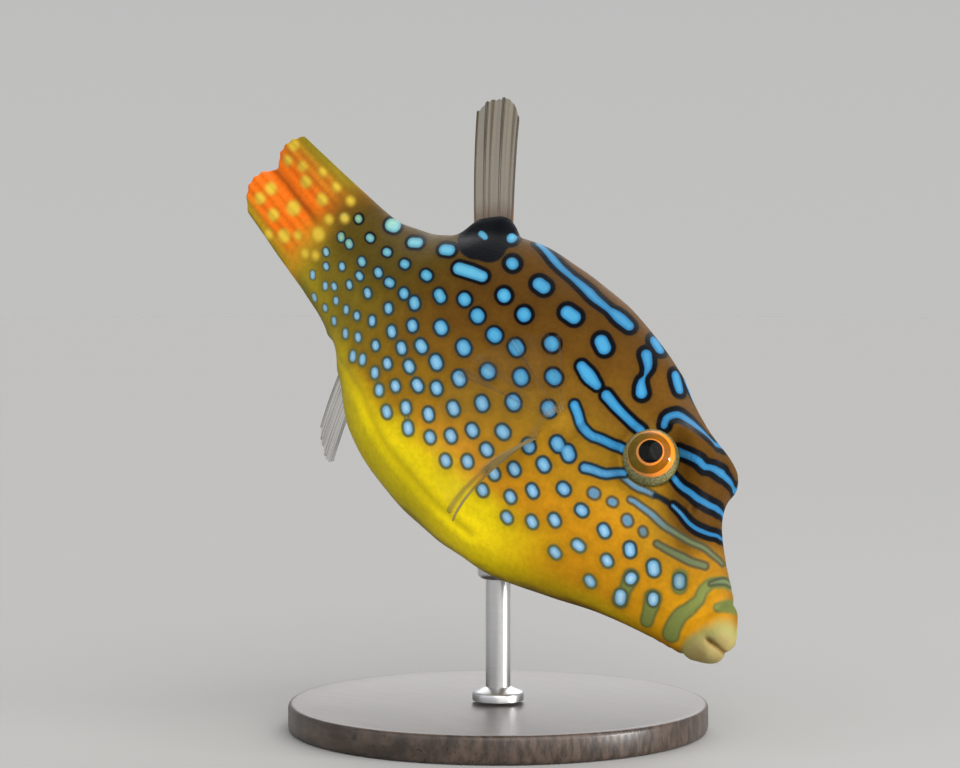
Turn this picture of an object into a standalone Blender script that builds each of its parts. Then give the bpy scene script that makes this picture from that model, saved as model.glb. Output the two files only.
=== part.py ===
"""Spotted sharpnose puffer, life size, nose down on a small display stand."""

import math

import bmesh
import bpy
import numpy as np

MM = 0.001

# Driving sizes in millimetres. The fish is described straight and level first: a station is the
# distance back from the tip of the snout, y points to the fish's left and z to its back.
BODY_LENGTH = 73.0
TAIL_FIN_LENGTH = 17.5
CUT = 0.3

# Attitude in degrees. The head points along +X, tips down and leans to the fish's left
NOSE_DOWN = 35.7
BANK = 26.8
TAIL_TURN = 9.0
TURN_FROM = 36.0
TURN_TO = 82.0

# The snout's tip over the floor, in millimetres from the middle of the stand
SNOUT_TIP = (29.0, 1.6, 10.5)

# Outline stations: (distance from the snout tip, value), all in millimetres
BACK = (
    (0.0, 1.4), (0.6, 2.7), (3.0, 4.5), (7.0, 6.8), (10.0, 8.8), (13.0, 11.4), (16.0, 13.3),
    (19.0, 14.5), (22.5, 15.6), (26.0, 16.9), (35.0, 18.0), (45.0, 17.1), (52.0, 15.1),
    (57.0, 11.2), (62.0, 8.3), (67.0, 6.7), (73.0, 6.3),
)
BELLY = (
    (0.0, -0.5), (0.6, -1.6), (3.0, -2.7), (7.0, -3.9), (13.0, -6.1), (19.0, -9.0), (26.0, -12.0),
    (33.0, -13.4), (41.0, -14.0), (49.0, -12.9), (55.0, -9.9), (60.0, -7.9), (66.0, -6.8), (73.0, -6.3),
)
HALF_WIDTH = (
    (0.0, 0.7), (0.6, 1.7), (3.0, 2.5), (7.0, 3.3), (13.0, 4.9), (19.0, 6.9), (26.0, 7.8),
    (34.0, 8.4), (44.0, 8.2), (54.0, 6.6), (62.0, 4.4), (68.0, 2.8), (73.0, 1.5),
)
# How the flank closes over the back: under 1 is a broad crown, over 1 is a keel
CROWN = (
    (0.0, 0.9), (8.0, 0.9), (12.0, 0.75), (17.0, 0.55), (24.0, 0.75), (34.0, 1.05), (46.0, 1.3),
    (58.0, 1.2), (73.0, 0.9),
)
BELLY_ROUNDNESS = 0.88
WIDEST_SHARE = 0.45

# Eye and brow
EYE_STATION = 18.0
EYE_HEIGHT = 8.8
EYE_RADIUS = 3.2
EYE_SINK = 1.6
BROW_STATION = 15.4
BROW_HEIGHT = 12.4
BROW_SWELL = 2.4
BROW_LENGTH = 3.0
BROW_SPREAD = 2.6

# Where the body is parted
MOUTH_LEVEL = 0.45
LIPS_END = 2.3
SNOUT_END = 12.0
HEAD_END = 26.0
TRUNK_END = 58.0

# Fins
FIN_THICKNESS = 0.6
ROOT_THICKENING = 0.3
PADDLE_ROUNDING = 0.3
DORSAL_ROOT = (52.6, 56.4)
DORSAL_HEIGHT = 18.4
DORSAL_SWEEP = 38.0
DORSAL_BOW = 0.8
ANAL_ROOT = (53.2, 57.8)
ANAL_DEPTH = 10.0
ANAL_SWEEP = 84.0
ANAL_LEAN = 35.0
ANAL_BOW = 0.6
PECTORAL_STATION = 27.8
PECTORAL_HEIGHT = 4.3
PECTORAL_ROOT = 4.4
PECTORAL_UP = 42.0
PECTORAL_DOWN = -92.0
PECTORAL_REACH = (7.4, 11.6)
PECTORAL_STAND_OFF = 20.0
PECTORAL_GAP = 0.8
TAIL_HALF_HEIGHT = 6.1
TAIL_NARROWING = 0.6
TAIL_ROOT_THICKENING = 1.5
TAIL_MARGIN_THINNING = 0.7
TAIL_CREASE = 0.08
CREASE_WIDTH = 0.4
CREASE_DEPTH = 1.5
TAIL_NOTCH = 0.07
NOTCH_WIDTH = 0.12
TAIL_CORNERS = (0.16, 0.32)

# Stand
BASE_RADIUS = 22.0
BASE_THICKNESS = 3.0
BASE_EDGE = 0.6
ROD_RADIUS = 1.3
FOOT_RADIUS = 2.7
FOOT_HEIGHT = 0.8
FOOT_SLOPE = 0.5
ROD_TO_BELLY = 1.0
COLLAR_RADIUS = 2.4
COLLAR_LIP = 0.3
COLLAR_FLARE = 0.8
COLLAR_DEPTH = 4.0

# How finely the surfaces are divided
RING = 40
STATIONS_LIPS = 4
STATIONS_BODY = 46
SPINE_STEPS = 120
FIN_ROWS = 9
PADDLE_COLUMNS = 9
FAN_COLUMNS = 13
TAIL_COLUMNS = 17
EYE_SIDES = 24
EYE_RINGS = 14
BASE_SIDES = 64
ROD_SIDES = 24


def bump(distance, width):
    """Bell of height 1 that falls away over a width."""
    return np.exp(-((distance / width) ** 2))


def curve_through(stations, x):
    """Smooth value at x through (distance, value) stations, with no overshoot between them."""
    known = np.array([s[0] for s in stations])
    value = np.array([s[1] for s in stations])
    step = np.diff(known)
    rise = np.diff(value) / step
    slope = np.zeros(len(known))
    slope[0] = rise[0]
    slope[-1] = rise[-1]
    for i in range(1, len(known) - 1):
        if rise[i - 1] * rise[i] > 0:
            ahead = 2 * step[i] + step[i - 1]
            behind = step[i] + 2 * step[i - 1]
            slope[i] = (ahead + behind) / (ahead / rise[i - 1] + behind / rise[i])
    x = np.clip(x, known[0], known[-1])
    k = np.clip(np.searchsorted(known, x, side="right") - 1, 0, len(step) - 1)
    t = (x - known[k]) / step[k]
    start = (2 * t**3 - 3 * t**2 + 1) * value[k] + (t**3 - 2 * t**2 + t) * step[k] * slope[k]
    end = (3 * t**2 - 2 * t**3) * value[k + 1] + (t**3 - t**2) * step[k] * slope[k + 1]
    return start + end


def section(station, turn, swell=0.0):
    """Points of the straight body at a station, turned from the back (0) by the left side (pi / 2)."""
    turn = np.atleast_1d(turn)
    top = curve_through(BACK, station) + swell
    bottom = curve_through(BELLY, station) - swell
    half = curve_through(HALF_WIDTH, station) + swell
    middle = bottom + WIDEST_SHARE * (top - bottom)
    up = np.cos(turn)
    out = np.abs(np.sin(turn))
    above = up > 0
    z = middle + np.where(above, top - middle, middle - bottom) * up
    closing = np.where(above, curve_through(CROWN, station), BELLY_ROUNDNESS)
    brow = BROW_SWELL * bump(station - BROW_STATION, BROW_LENGTH) * bump(z - BROW_HEIGHT, BROW_SPREAD)
    y = np.sign(np.sin(turn)) * (half * out**closing + brow * np.minimum(1.0, 3.0 * out))
    return np.column_stack((np.full(len(turn), station), y, z))


def flank(station, height):
    """Half width of the straight body at a station and a height."""
    top = float(curve_through(BACK, station))
    bottom = float(curve_through(BELLY, station))
    middle = bottom + WIDEST_SHARE * (top - bottom)
    reach = top - middle if height > middle else middle - bottom
    turn = math.acos(max(-1.0, min(1.0, (height - middle) / reach)))
    return section(station, turn)[0, 1]


def place(point):
    """Carry a point of the straight fish onto the turned spine and into the pose, in millimetres."""
    station, y, z = point
    ends = np.linspace(0.0, station, SPINE_STEPS + 1)
    share = np.clip((ends - TURN_FROM) / (TURN_TO - TURN_FROM), 0.0, 1.0)
    angle = math.radians(TAIL_TURN) * share * share * (3 - 2 * share)
    middles = 0.5 * (angle[1:] + angle[:-1])
    back = float(np.mean(np.cos(middles))) * station - y * math.sin(angle[-1])
    left = float(np.mean(np.sin(middles))) * station + y * math.cos(angle[-1])
    pitch = math.radians(NOSE_DOWN)
    bank = math.radians(BANK)
    forward = np.array([math.cos(pitch), 0.0, -math.sin(pitch)])
    level_up = np.array([math.sin(pitch), 0.0, math.cos(pitch)])
    level_left = np.array([0.0, 1.0, 0.0])
    leftward = level_left * math.cos(bank) - level_up * math.sin(bank)
    upward = level_up * math.cos(bank) + level_left * math.sin(bank)
    return np.array(SNOUT_TIP) - back * forward + left * leftward + z * upward


def clear_scene():
    for item in list(bpy.data.objects):
        bpy.data.objects.remove(item, do_unlink=True)


def material(name, colour, roughness, metallic=0.0):
    made = bpy.data.materials.new(name)
    made.use_nodes = True
    shader = made.node_tree.nodes["Principled BSDF"]
    shader.inputs["Base Color"].default_value = (*colour, 1.0)
    shader.inputs["Roughness"].default_value = roughness
    shader.inputs["Metallic"].default_value = metallic
    return made


def add_object(name, bm, finish):
    """Turn a closed bmesh in millimetres into a named object with its material and outward faces."""
    bmesh.ops.recalc_face_normals(bm, faces=bm.faces)
    if bm.calc_volume(signed=True) < 0:
        bmesh.ops.reverse_faces(bm, faces=bm.faces)
    bmesh.ops.scale(bm, vec=(MM, MM, MM), verts=bm.verts)
    mesh = bpy.data.meshes.new(name)
    bm.to_mesh(mesh)
    bm.free()
    mesh.materials.append(finish)
    mesh.shade_smooth()
    mesh.set_sharp_from_angle(angle=math.radians(50))
    made = bpy.data.objects.new(name, mesh)
    bpy.context.collection.objects.link(made)
    return made


def straight_body(swell=0.0):
    """The whole body from the mouth to the root of the tail fin, closed, in straight millimetres."""
    lips = np.linspace(0.0, 1.0, STATIONS_LIPS, endpoint=False) ** 1.5 * LIPS_END
    rest = np.linspace(LIPS_END, BODY_LENGTH, STATIONS_BODY)
    turns = np.linspace(0.0, 2 * math.pi, RING, endpoint=False)
    bm = bmesh.new()
    rings = []
    for station in (*lips, *rest):
        rings.append([bm.verts.new(point) for point in section(station, turns, swell)])
    for near, far in zip(rings, rings[1:]):
        for i in range(RING):
            j = (i + 1) % RING
            bm.faces.new((near[i], near[j], far[j], far[i]))
    bm.faces.new(rings[0])
    bm.faces.new(list(reversed(rings[-1])))
    return bm


def keep_side(bm, at, outward):
    """Cut a closed bmesh by a plane, drop what lies outward of it and close the cut."""
    everything = bm.verts[:] + bm.edges[:] + bm.faces[:]
    bmesh.ops.bisect_plane(
        bm, geom=everything, dist=1e-5, plane_co=at, plane_no=outward, clear_outer=True
    )
    rim = [edge for edge in bm.edges if edge.is_boundary]
    bmesh.ops.holes_fill(bm, edges=rim, sides=0)


def pose(bm):
    """Move a bmesh from the straight fish into the pose."""
    bmesh.ops.triangulate(bm, faces=bm.faces[:])
    for vert in bm.verts:
        vert.co = place(vert.co)


def body_length(name, start, end, finish, level=None, above=True):
    """One length of the body between two stations, parted from its neighbours by thin cuts."""
    bm = straight_body()
    if start > 0.0:
        keep_side(bm, (start + CUT / 2, 0, 0), (-1, 0, 0))
    if end < BODY_LENGTH:
        keep_side(bm, (end - CUT / 2, 0, 0), (1, 0, 0))
    if level is not None:
        side = 1 if above else -1
        keep_side(bm, (0, 0, level + side * CUT / 2), (0, 0, -side))
    pose(bm)
    return add_object(name, bm, finish)


def eye_centre(side):
    depth = flank(EYE_STATION, EYE_HEIGHT) - EYE_SINK
    return place((EYE_STATION, side * depth, EYE_HEIGHT))


def ball(name, centre, radius, finish):
    bm = bmesh.new()
    bmesh.ops.create_uvsphere(bm, u_segments=EYE_SIDES, v_segments=EYE_RINGS, radius=radius)
    bmesh.ops.translate(bm, verts=bm.verts, vec=centre)
    return add_object(name, bm, finish)


def as_cutter(item):
    item.hide_render = True
    item.display_type = "WIRE"


def cut_with(item, cutter):
    boolean = item.modifiers.new("cut by " + cutter.name, "BOOLEAN")
    boolean.operation = "DIFFERENCE"
    boolean.object = cutter


def fin_plate(name, middle, thickness, finish):
    """Closed plate about a grid of middle points, rows from root to edge, with its own thickness at each."""
    along = np.gradient(middle, axis=0)
    across = np.gradient(middle, axis=1)
    normal = np.cross(along, across)
    normal /= np.linalg.norm(normal, axis=2, keepdims=True)
    offset = normal * thickness[..., None] / 2
    bm = bmesh.new()
    rows, columns = thickness.shape
    faces = []
    for sheet in (middle + offset, middle - offset):
        faces.append([[bm.verts.new(place(sheet[i, j])) for j in range(columns)] for i in range(rows)])
    upper, lower = faces
    for i in range(rows - 1):
        for j in range(columns - 1):
            bm.faces.new((upper[i][j], upper[i][j + 1], upper[i + 1][j + 1], upper[i + 1][j]))
            bm.faces.new((lower[i][j], lower[i + 1][j], lower[i + 1][j + 1], lower[i][j + 1]))
    rim = [(0, j) for j in range(columns)]
    rim += [(i, columns - 1) for i in range(1, rows)]
    rim += [(rows - 1, j) for j in range(columns - 2, -1, -1)]
    rim += [(i, 0) for i in range(rows - 2, 0, -1)]
    for (i, j), (m, n) in zip(rim, rim[1:] + rim[:1]):
        bm.faces.new((upper[i][j], lower[i][j], lower[m][n], upper[m][n]))
    return add_object(name, bm, finish)


def tail_fin(finish):
    """Fan of rays behind the body, partly folded along a crease that notches its rear edge."""
    middle = np.zeros((FIN_ROWS, TAIL_COLUMNS, 3))
    thickness = np.zeros((FIN_ROWS, TAIL_COLUMNS))
    root = BODY_LENGTH + CUT
    for j, across in enumerate(np.linspace(-1.0, 1.0, TAIL_COLUMNS)):
        notch = TAIL_NOTCH * bump(across - TAIL_CREASE, NOTCH_WIDTH)
        crease = CREASE_DEPTH * bump(across - TAIL_CREASE, CREASE_WIDTH)
        corner = TAIL_CORNERS[0] if across > 0 else TAIL_CORNERS[1]
        reach = TAIL_FIN_LENGTH * (1 - corner * abs(across) ** 3 - notch) - CUT
        heel = TAIL_ROOT_THICKENING * (1 - TAIL_MARGIN_THINNING * abs(across) ** 3)
        for i, out in enumerate(np.linspace(0.0, 1.0, FIN_ROWS)):
            height = across * (TAIL_HALF_HEIGHT - TAIL_NARROWING * out)
            middle[i, j] = (root + out * reach, crease * out, height)
            thickness[i, j] = FIN_THICKNESS + heel * (1 - out) ** 2
    return fin_plate("caudal_fin", middle, thickness, finish)


def midline_fin(name, root, edge, length, sweep, lean, bow, finish):
    """Narrow paddle on the midline: edge is BACK or BELLY and lean turns the rays to the fish's left."""
    side = 1 if edge is BACK else -1
    middle = np.zeros((FIN_ROWS, PADDLE_COLUMNS, 3))
    sweep = math.radians(sweep)
    lean = math.radians(lean)
    raised = math.sin(sweep)
    ray = np.array([math.cos(sweep), raised * math.sin(lean), side * raised * math.cos(lean)])
    for j, across in enumerate(np.linspace(0.0, 1.0, PADDLE_COLUMNS)):
        station = root[0] + across * (root[1] - root[0])
        start = np.array([station, 0.0, float(curve_through(edge, station)) + side * CUT])
        reach = length * (1 - PADDLE_ROUNDING * abs(2 * across - 1) ** 3)
        for i, out in enumerate(np.linspace(0.0, 1.0, FIN_ROWS)):
            middle[i, j] = start + ray * out * reach + np.array([0.0, bow * out * out, 0.0])
    taper = np.linspace(FIN_THICKNESS + ROOT_THICKENING, FIN_THICKNESS, FIN_ROWS)
    return fin_plate(name, middle, np.repeat(taper[:, None], PADDLE_COLUMNS, axis=1), finish)


def pectoral_fin(name, side, finish):
    """Fan behind the gill opening, standing off the flank, with its lower edge the longest."""
    middle = np.zeros((FIN_ROWS, FAN_COLUMNS, 3))
    off = math.radians(PECTORAL_STAND_OFF)
    for j, across in enumerate(np.linspace(0.0, 1.0, FAN_COLUMNS)):
        height = PECTORAL_HEIGHT + PECTORAL_ROOT * (0.5 - across)
        outside = flank(PECTORAL_STATION, height) + PECTORAL_GAP
        start = np.array([PECTORAL_STATION, side * outside, height])
        angle = math.radians(PECTORAL_UP + (PECTORAL_DOWN - PECTORAL_UP) * across)
        fullness = math.sin(0.5 * math.pi * min(1.0, 1.5 * across))
        reach = PECTORAL_REACH[0] + (PECTORAL_REACH[1] - PECTORAL_REACH[0]) * fullness
        flat = math.cos(off)
        ray = np.array([math.cos(angle) * flat, side * math.sin(off), math.sin(angle) * flat])
        for i, out in enumerate(np.linspace(0.0, 1.0, FIN_ROWS)):
            middle[i, j] = start + ray * out * reach
    return fin_plate(name, middle, np.full((FIN_ROWS, FAN_COLUMNS), FIN_THICKNESS), finish)


def turned(name, profile, finish, sides):
    """Solid turned about the vertical through the middle of the stand from (radius, height) pairs."""
    bm = bmesh.new()
    rings = []
    for radius, height in profile:
        ring = []
        for i in range(sides):
            angle = 2 * math.pi * i / sides
            ring.append(bm.verts.new((radius * math.cos(angle), radius * math.sin(angle), height)))
        rings.append(ring)
    for low, high in zip(rings, rings[1:]):
        for i in range(sides):
            j = (i + 1) % sides
            bm.faces.new((low[i], low[j], high[j], high[i]))
    bm.faces.new(rings[0])
    bm.faces.new(rings[-1])
    return add_object(name, bm, finish)


def body_height_above(radius):
    """Lowest height of the posed belly within a radius of the stand's middle, in millimetres."""
    lowest = SNOUT_TIP[2] + BODY_LENGTH
    for station in np.linspace(HEAD_END, TRUNK_END, 80):
        for point in section(station, np.linspace(0.5 * math.pi, 1.5 * math.pi, 61)):
            x, y, z = place(point)
            if math.hypot(x, y) < radius:
                lowest = min(lowest, z)
    return lowest


def stand(wood, metal):
    """Round base, rod on a round foot, and a collar that is hollowed to the belly it holds."""
    edge = BASE_EDGE
    turned(
        "stand_base",
        (
            (BASE_RADIUS - edge, 0.0),
            (BASE_RADIUS, edge),
            (BASE_RADIUS, BASE_THICKNESS - edge),
            (BASE_RADIUS - edge, BASE_THICKNESS),
        ),
        wood,
        BASE_SIDES,
    )
    foot = BASE_THICKNESS + CUT
    joint = body_height_above(COLLAR_RADIUS) - ROD_TO_BELLY
    turned(
        "stand_rod",
        (
            (FOOT_RADIUS, foot),
            (FOOT_RADIUS, foot + FOOT_HEIGHT),
            (ROD_RADIUS, foot + FOOT_HEIGHT + FOOT_SLOPE),
            (ROD_RADIUS, joint),
        ),
        metal,
        ROD_SIDES,
    )
    collar = turned(
        "stand_collar",
        (
            (ROD_RADIUS + COLLAR_LIP, joint + CUT),
            (COLLAR_RADIUS, joint + CUT + COLLAR_FLARE),
            (COLLAR_RADIUS, joint + COLLAR_DEPTH),
        ),
        metal,
        ROD_SIDES,
    )
    bm = straight_body(swell=CUT)
    pose(bm)
    fish = add_object("belly_shape", bm, metal)
    as_cutter(fish)
    cut_with(collar, fish)


def main():
    clear_scene()
    skin_back = material("spotted skin", (0.45, 0.22, 0.04), 0.42)
    skin_head = material("orange skin", (0.80, 0.36, 0.04), 0.42)
    skin_tail = material("stalk skin", (0.42, 0.25, 0.05), 0.42)
    lip_skin = material("pale lips", (0.78, 0.66, 0.45), 0.38)
    tail_web = material("tail fin web", (0.95, 0.25, 0.02), 0.40)
    clear_web = material("clear fin web", (0.42, 0.34, 0.24), 0.35)
    eye_gloss = material("eye", (0.55, 0.22, 0.02), 0.10)
    wood = material("dark base", (0.03, 0.025, 0.02), 0.35)
    metal = material("rod metal", (0.55, 0.55, 0.56), 0.25, 1.0)

    body_length("lip_upper", 0.0, LIPS_END, lip_skin, MOUTH_LEVEL, above=True)
    body_length("lip_lower", 0.0, LIPS_END, lip_skin, MOUTH_LEVEL, above=False)
    body_length("snout", LIPS_END, SNOUT_END, skin_head)
    head = body_length("head", SNOUT_END, HEAD_END, skin_head)
    body_length("trunk", HEAD_END, TRUNK_END, skin_back)
    body_length("tail_stalk", TRUNK_END, BODY_LENGTH, skin_tail)

    for name, side in (("right", -1), ("left", 1)):
        centre = eye_centre(side)
        ball("eye_" + name, centre, EYE_RADIUS, eye_gloss)
        socket = ball("socket_" + name, centre, EYE_RADIUS + CUT, eye_gloss)
        as_cutter(socket)
        cut_with(head, socket)
        pectoral_fin("pectoral_fin_" + name, side, clear_web)

    tail_fin(tail_web)
    midline_fin("dorsal_fin", DORSAL_ROOT, BACK, DORSAL_HEIGHT, DORSAL_SWEEP, 0.0, DORSAL_BOW, clear_web)
    midline_fin("anal_fin", ANAL_ROOT, BELLY, ANAL_DEPTH, ANAL_SWEEP, ANAL_LEAN, ANAL_BOW, clear_web)
    stand(wood, metal)


main()
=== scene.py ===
"""Display model of a spotted sharpnose puffer: skin, fins, eyes, stand and studio, laid out as an add-on."""

import math

import bmesh
import bpy
import numpy as np
from bpy.props import FloatProperty, FloatVectorProperty, IntProperty, PointerProperty
from mathutils import Matrix, Vector


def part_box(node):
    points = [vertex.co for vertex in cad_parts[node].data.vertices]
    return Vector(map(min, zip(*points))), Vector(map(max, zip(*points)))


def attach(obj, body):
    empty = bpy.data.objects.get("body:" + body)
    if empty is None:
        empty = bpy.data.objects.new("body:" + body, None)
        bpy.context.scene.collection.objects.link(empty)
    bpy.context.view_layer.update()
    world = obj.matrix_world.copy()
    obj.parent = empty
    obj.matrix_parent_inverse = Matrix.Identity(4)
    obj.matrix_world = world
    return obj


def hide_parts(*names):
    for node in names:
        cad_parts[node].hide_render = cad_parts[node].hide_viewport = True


bl_info = {
    "name": "Sharpnose Puffer Model",
    "version": (1, 0, 0),
    "blender": (4, 5, 0),
    "location": "3D View > Sidebar > Puffer",
    "description": "Builds the skin, fins, eyes, stand and studio of a small spotted puffer",
    "category": "Object",
}

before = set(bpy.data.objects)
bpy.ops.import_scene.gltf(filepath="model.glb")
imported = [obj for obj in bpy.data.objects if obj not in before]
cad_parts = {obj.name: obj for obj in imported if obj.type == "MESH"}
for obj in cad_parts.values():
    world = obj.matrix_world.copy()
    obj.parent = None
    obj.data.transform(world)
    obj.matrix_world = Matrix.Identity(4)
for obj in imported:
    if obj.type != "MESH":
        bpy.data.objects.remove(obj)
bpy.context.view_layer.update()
MM = 0.001

# The straight fish in millimetres: stations run back from the snout's tip, y to its left, z to its back
BODY_LENGTH = 73.0
TAIL_FIN_LENGTH = 17.5
FULL_LENGTH = BODY_LENGTH + TAIL_FIN_LENGTH
SNOUT_TIP = np.array((29.0, 1.6, 10.5))
NOSE_DOWN = math.radians(35.7)
BANK = math.radians(26.8)
# The spine turns to the fish's left between two stations, and is followed a little past the tail fin
TAIL_TURN = math.radians(9.0)
TURN_FROM = 36.0
TURN_TO = 82.0
SPINE_POINTS = 1200
SPARE_SPINE = 5.0

# Height of the back, height of the belly and half width at stations
BACK = (
    (0.0, 1.4), (0.6, 2.7), (3.0, 4.5), (7.0, 6.8), (10.0, 8.8), (13.0, 11.4), (16.0, 13.3),
    (19.0, 14.5), (22.5, 15.6), (26.0, 16.9), (35.0, 18.0), (45.0, 17.1), (52.0, 15.1),
    (57.0, 11.2), (62.0, 8.3), (67.0, 6.7), (73.0, 6.3), (80.0, 6.0), (90.5, 5.6),
)
BELLY = (
    (0.0, -0.5), (0.6, -1.6), (3.0, -2.7), (7.0, -3.9), (13.0, -6.1), (19.0, -9.0), (26.0, -12.0),
    (33.0, -13.4), (41.0, -14.0), (49.0, -12.9), (55.0, -9.9), (60.0, -7.9), (66.0, -6.8), (73.0, -6.3),
    (80.0, -6.0), (90.5, -5.4),
)
HALF_WIDTH = (
    (0.0, 0.7), (0.6, 1.7), (3.0, 2.5), (7.0, 3.3), (13.0, 4.9), (19.0, 6.9), (26.0, 7.8), (34.0, 8.4),
    (44.0, 8.2), (54.0, 6.6), (62.0, 4.4), (68.0, 2.8), (73.0, 1.5), (77.0, 0.85), (83.0, 0.48), (90.5, 0.26),
)
# How sections close towards the back and the belly: 1 makes an ellipse, less is fuller, more is sharper
CROWN = (
    (0.0, 0.9), (8.0, 0.9), (12.0, 0.75), (17.0, 0.55), (24.0, 0.75), (34.0, 1.05), (46.0, 1.3),
    (58.0, 1.2), (73.0, 0.9), (79.0, 0.45), (90.5, 0.3),
)
KEEL = ((0.0, 0.88), (70.0, 0.88), (79.0, 0.45), (90.5, 0.3))
WIDEST_SHARE = 0.45

# The snout: the level where the lips meet, the folds of skin across it as stations and depths, the nostril
MOUTH_LEVEL = 0.45
SNOUT_FOLDS = ((4.2, 0.05), (5.3, 0.035), (6.5, 0.03))
NOSTRIL = (11.6, 8.2)

# The eyes, the opening of the skin round each, and the brow over them
EYE_STATION = 18.0
EYE_HEIGHT = 8.8
EYE_SINK = 1.6
EYE_AXIS = (-0.354, 1.0, 0.235)
EYE_SIDES = 96
EYE_ROWS = 64
OPENING_SHIFT = np.array((-0.19, 0.0, -0.23))
OPENING_RADIUS = 2.56
OPENING_RISE = 1.5
SOCKET_DEPTH = 0.7
SOCKET_RADIUS = 3.0
LID_RADIUS = 3.02
BROW_STATION = 15.4
BROW_HEIGHT = 12.4
BROW_LENGTH = 3.0
BROW_SPREAD = 2.6

# The gill slit and the crest over the eyes as station and height, and the swelling ahead of the anal fin
GILL_SLIT = (24.9, 4.3)
CREST = (15.3, 13.0)
VENT_STATION = 51.4

# The tail fin: half its height, its rays, and its notch's place between the middle (0) and back edge (1)
TAIL_HALF_HEIGHT = 5.9
TAIL_RAYS = 11
TAIL_NOTCH = 0.08

# The other fins: their roots, their rays, how far they are sunk in the skin, and the angle in degrees up to
# which their edges are smooth
PECTORAL_STATION = 27.4
PECTORAL_HEIGHT = 4.3
PECTORAL_RAYS = 15
DORSAL_ROOT = (52.4, 57.2)
ANAL_ROOT = (53.2, 57.8)
MIDLINE_RAYS = 9
ROOT_SUNK = 0.35
FIN_SMOOTHING = 80
# Length in millimetres, sweep, splay and lean to the left in degrees, and bow at the edge in millimetres
MIDLINE_FINS = {
    "dorsal": {
        "root": (52.6, 56.2), "edge": BACK, "length": 18.4,
        "sweep": 38.0, "splay": 3.5, "lean": 0.0, "bow": 0.8,
    },
    "anal": {
        "root": ANAL_ROOT, "edge": BELLY, "length": 10.0,
        "sweep": 84.0, "splay": 4.0, "lean": 35.0, "bow": 0.6,
    },
}

# The skin's net: the body's rows as first station, last station and count, the fin's rows, the points round
# half a ring, the cap over the snout's tip, the share of its square's width that its map takes, and the
# angle in degrees up to which its edges are smooth
SKIN_ROWS = ((0.0, 5.0, 46), (5.0, 24.0, 116), (24.0, BODY_LENGTH, 170))
FIN_ROWS = 66
HALF_RING = 112
RING = 2 * HALF_RING
CAP_ROWS = 7
CAP_DEPTH = 0.24
UV_SPAN = 0.98
SKIN_SMOOTHING = 180

# The stand in metres, and the angle up to which its edges are smooth
BASE_SIDES = 160
ROD_SIDES = 64
ROD_SUNK = 0.0003
FOOT_ROUNDING = 0.0002
COLLAR_HEIGHT = 0.0022
COLLAR_ROUNDING = 0.0007
STAND_SMOOTHING = math.radians(35)

# The camera, fitted to the fish: its azimuth and elevation, and where the snout's tip lies in front of it
CAMERA_AZIMUTH = math.radians(45.6)
CAMERA_ELEVATION = math.radians(2.0)
FOCAL_PIXELS = 2542.0
FRAME_WIDTH = 960
FRAME_HEIGHT = 768
SENSOR_WIDTH = 36.0
TIP_PIXEL = (719.9, 654.6)
TIP_DEPTH = 247.2
CLIP_START = 0.01
CLIP_END = 20.0

# The studio in metres. Each light has its kind, its tint, a sun's angle or a lamp's width, and its place
# from the middle of the fish: towards the camera, to its right and up
FLOOR_SIZE = 8.0
AIM_HEIGHT = 0.035
LIGHTS = {
    "key": ("SUN", (1.0, 0.97, 0.92), math.radians(80), (0.30, 0.21, 0.24)),
    "fill": ("SUN", (0.95, 0.97, 1.0), math.radians(100), (0.30, -0.24, 0.05)),
    "rim": ("SUN", (1.0, 1.0, 1.0), math.radians(50), (-0.34, 0.04, 0.26)),
    "spark": ("AREA", (1.0, 1.0, 1.0), 0.055, (0.13, 0.31, 0.004)),
}
ZENITH = (0.42, 0.43, 0.45)
ZENITH_FROM = 0.5


class PufferSizes(bpy.types.PropertyGroup):
    """Sizes of the fish's finer parts"""

    brow_swell: FloatProperty(
        name="Brow swell", description="How far the brow stands out over the eye",
        default=0.0024, unit="LENGTH",
    )
    eye_radius: FloatProperty(
        name="Eye radius", description="Radius of the eyeball", default=0.0032, unit="LENGTH"
    )
    cornea_from: FloatProperty(
        name="Cornea", description="Share of the eyeball's radius from where the cornea bulges", default=0.72
    )
    cornea_bulge: FloatProperty(
        name="Cornea bulge", description="How much deeper the cornea is than the plain ball", default=1.14
    )
    lid_rise: FloatProperty(
        name="Eye rim", description="Height of the rim of skin round the eye", default=0.00016, unit="LENGTH"
    )
    mouth_gap: FloatProperty(
        name="Mouth groove", description="Depth of the slit between the lips", default=0.0005, unit="LENGTH"
    )
    ray_ridge: FloatProperty(
        name="Tail rays", description="Height of the ray ridges on the tail fin",
        default=0.00014, unit="LENGTH",
    )
    web_thickness: FloatProperty(
        name="Web thickness", description="Thickness of the fin webs", default=0.00016, unit="LENGTH"
    )
    ray_thickness: FloatProperty(
        name="Ray thickness", description="Thickness of the fin rays", default=0.00042, unit="LENGTH"
    )
    seed: IntProperty(name="Seed", description="Chooses the small unevenness of the spot rows", default=5)


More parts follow.
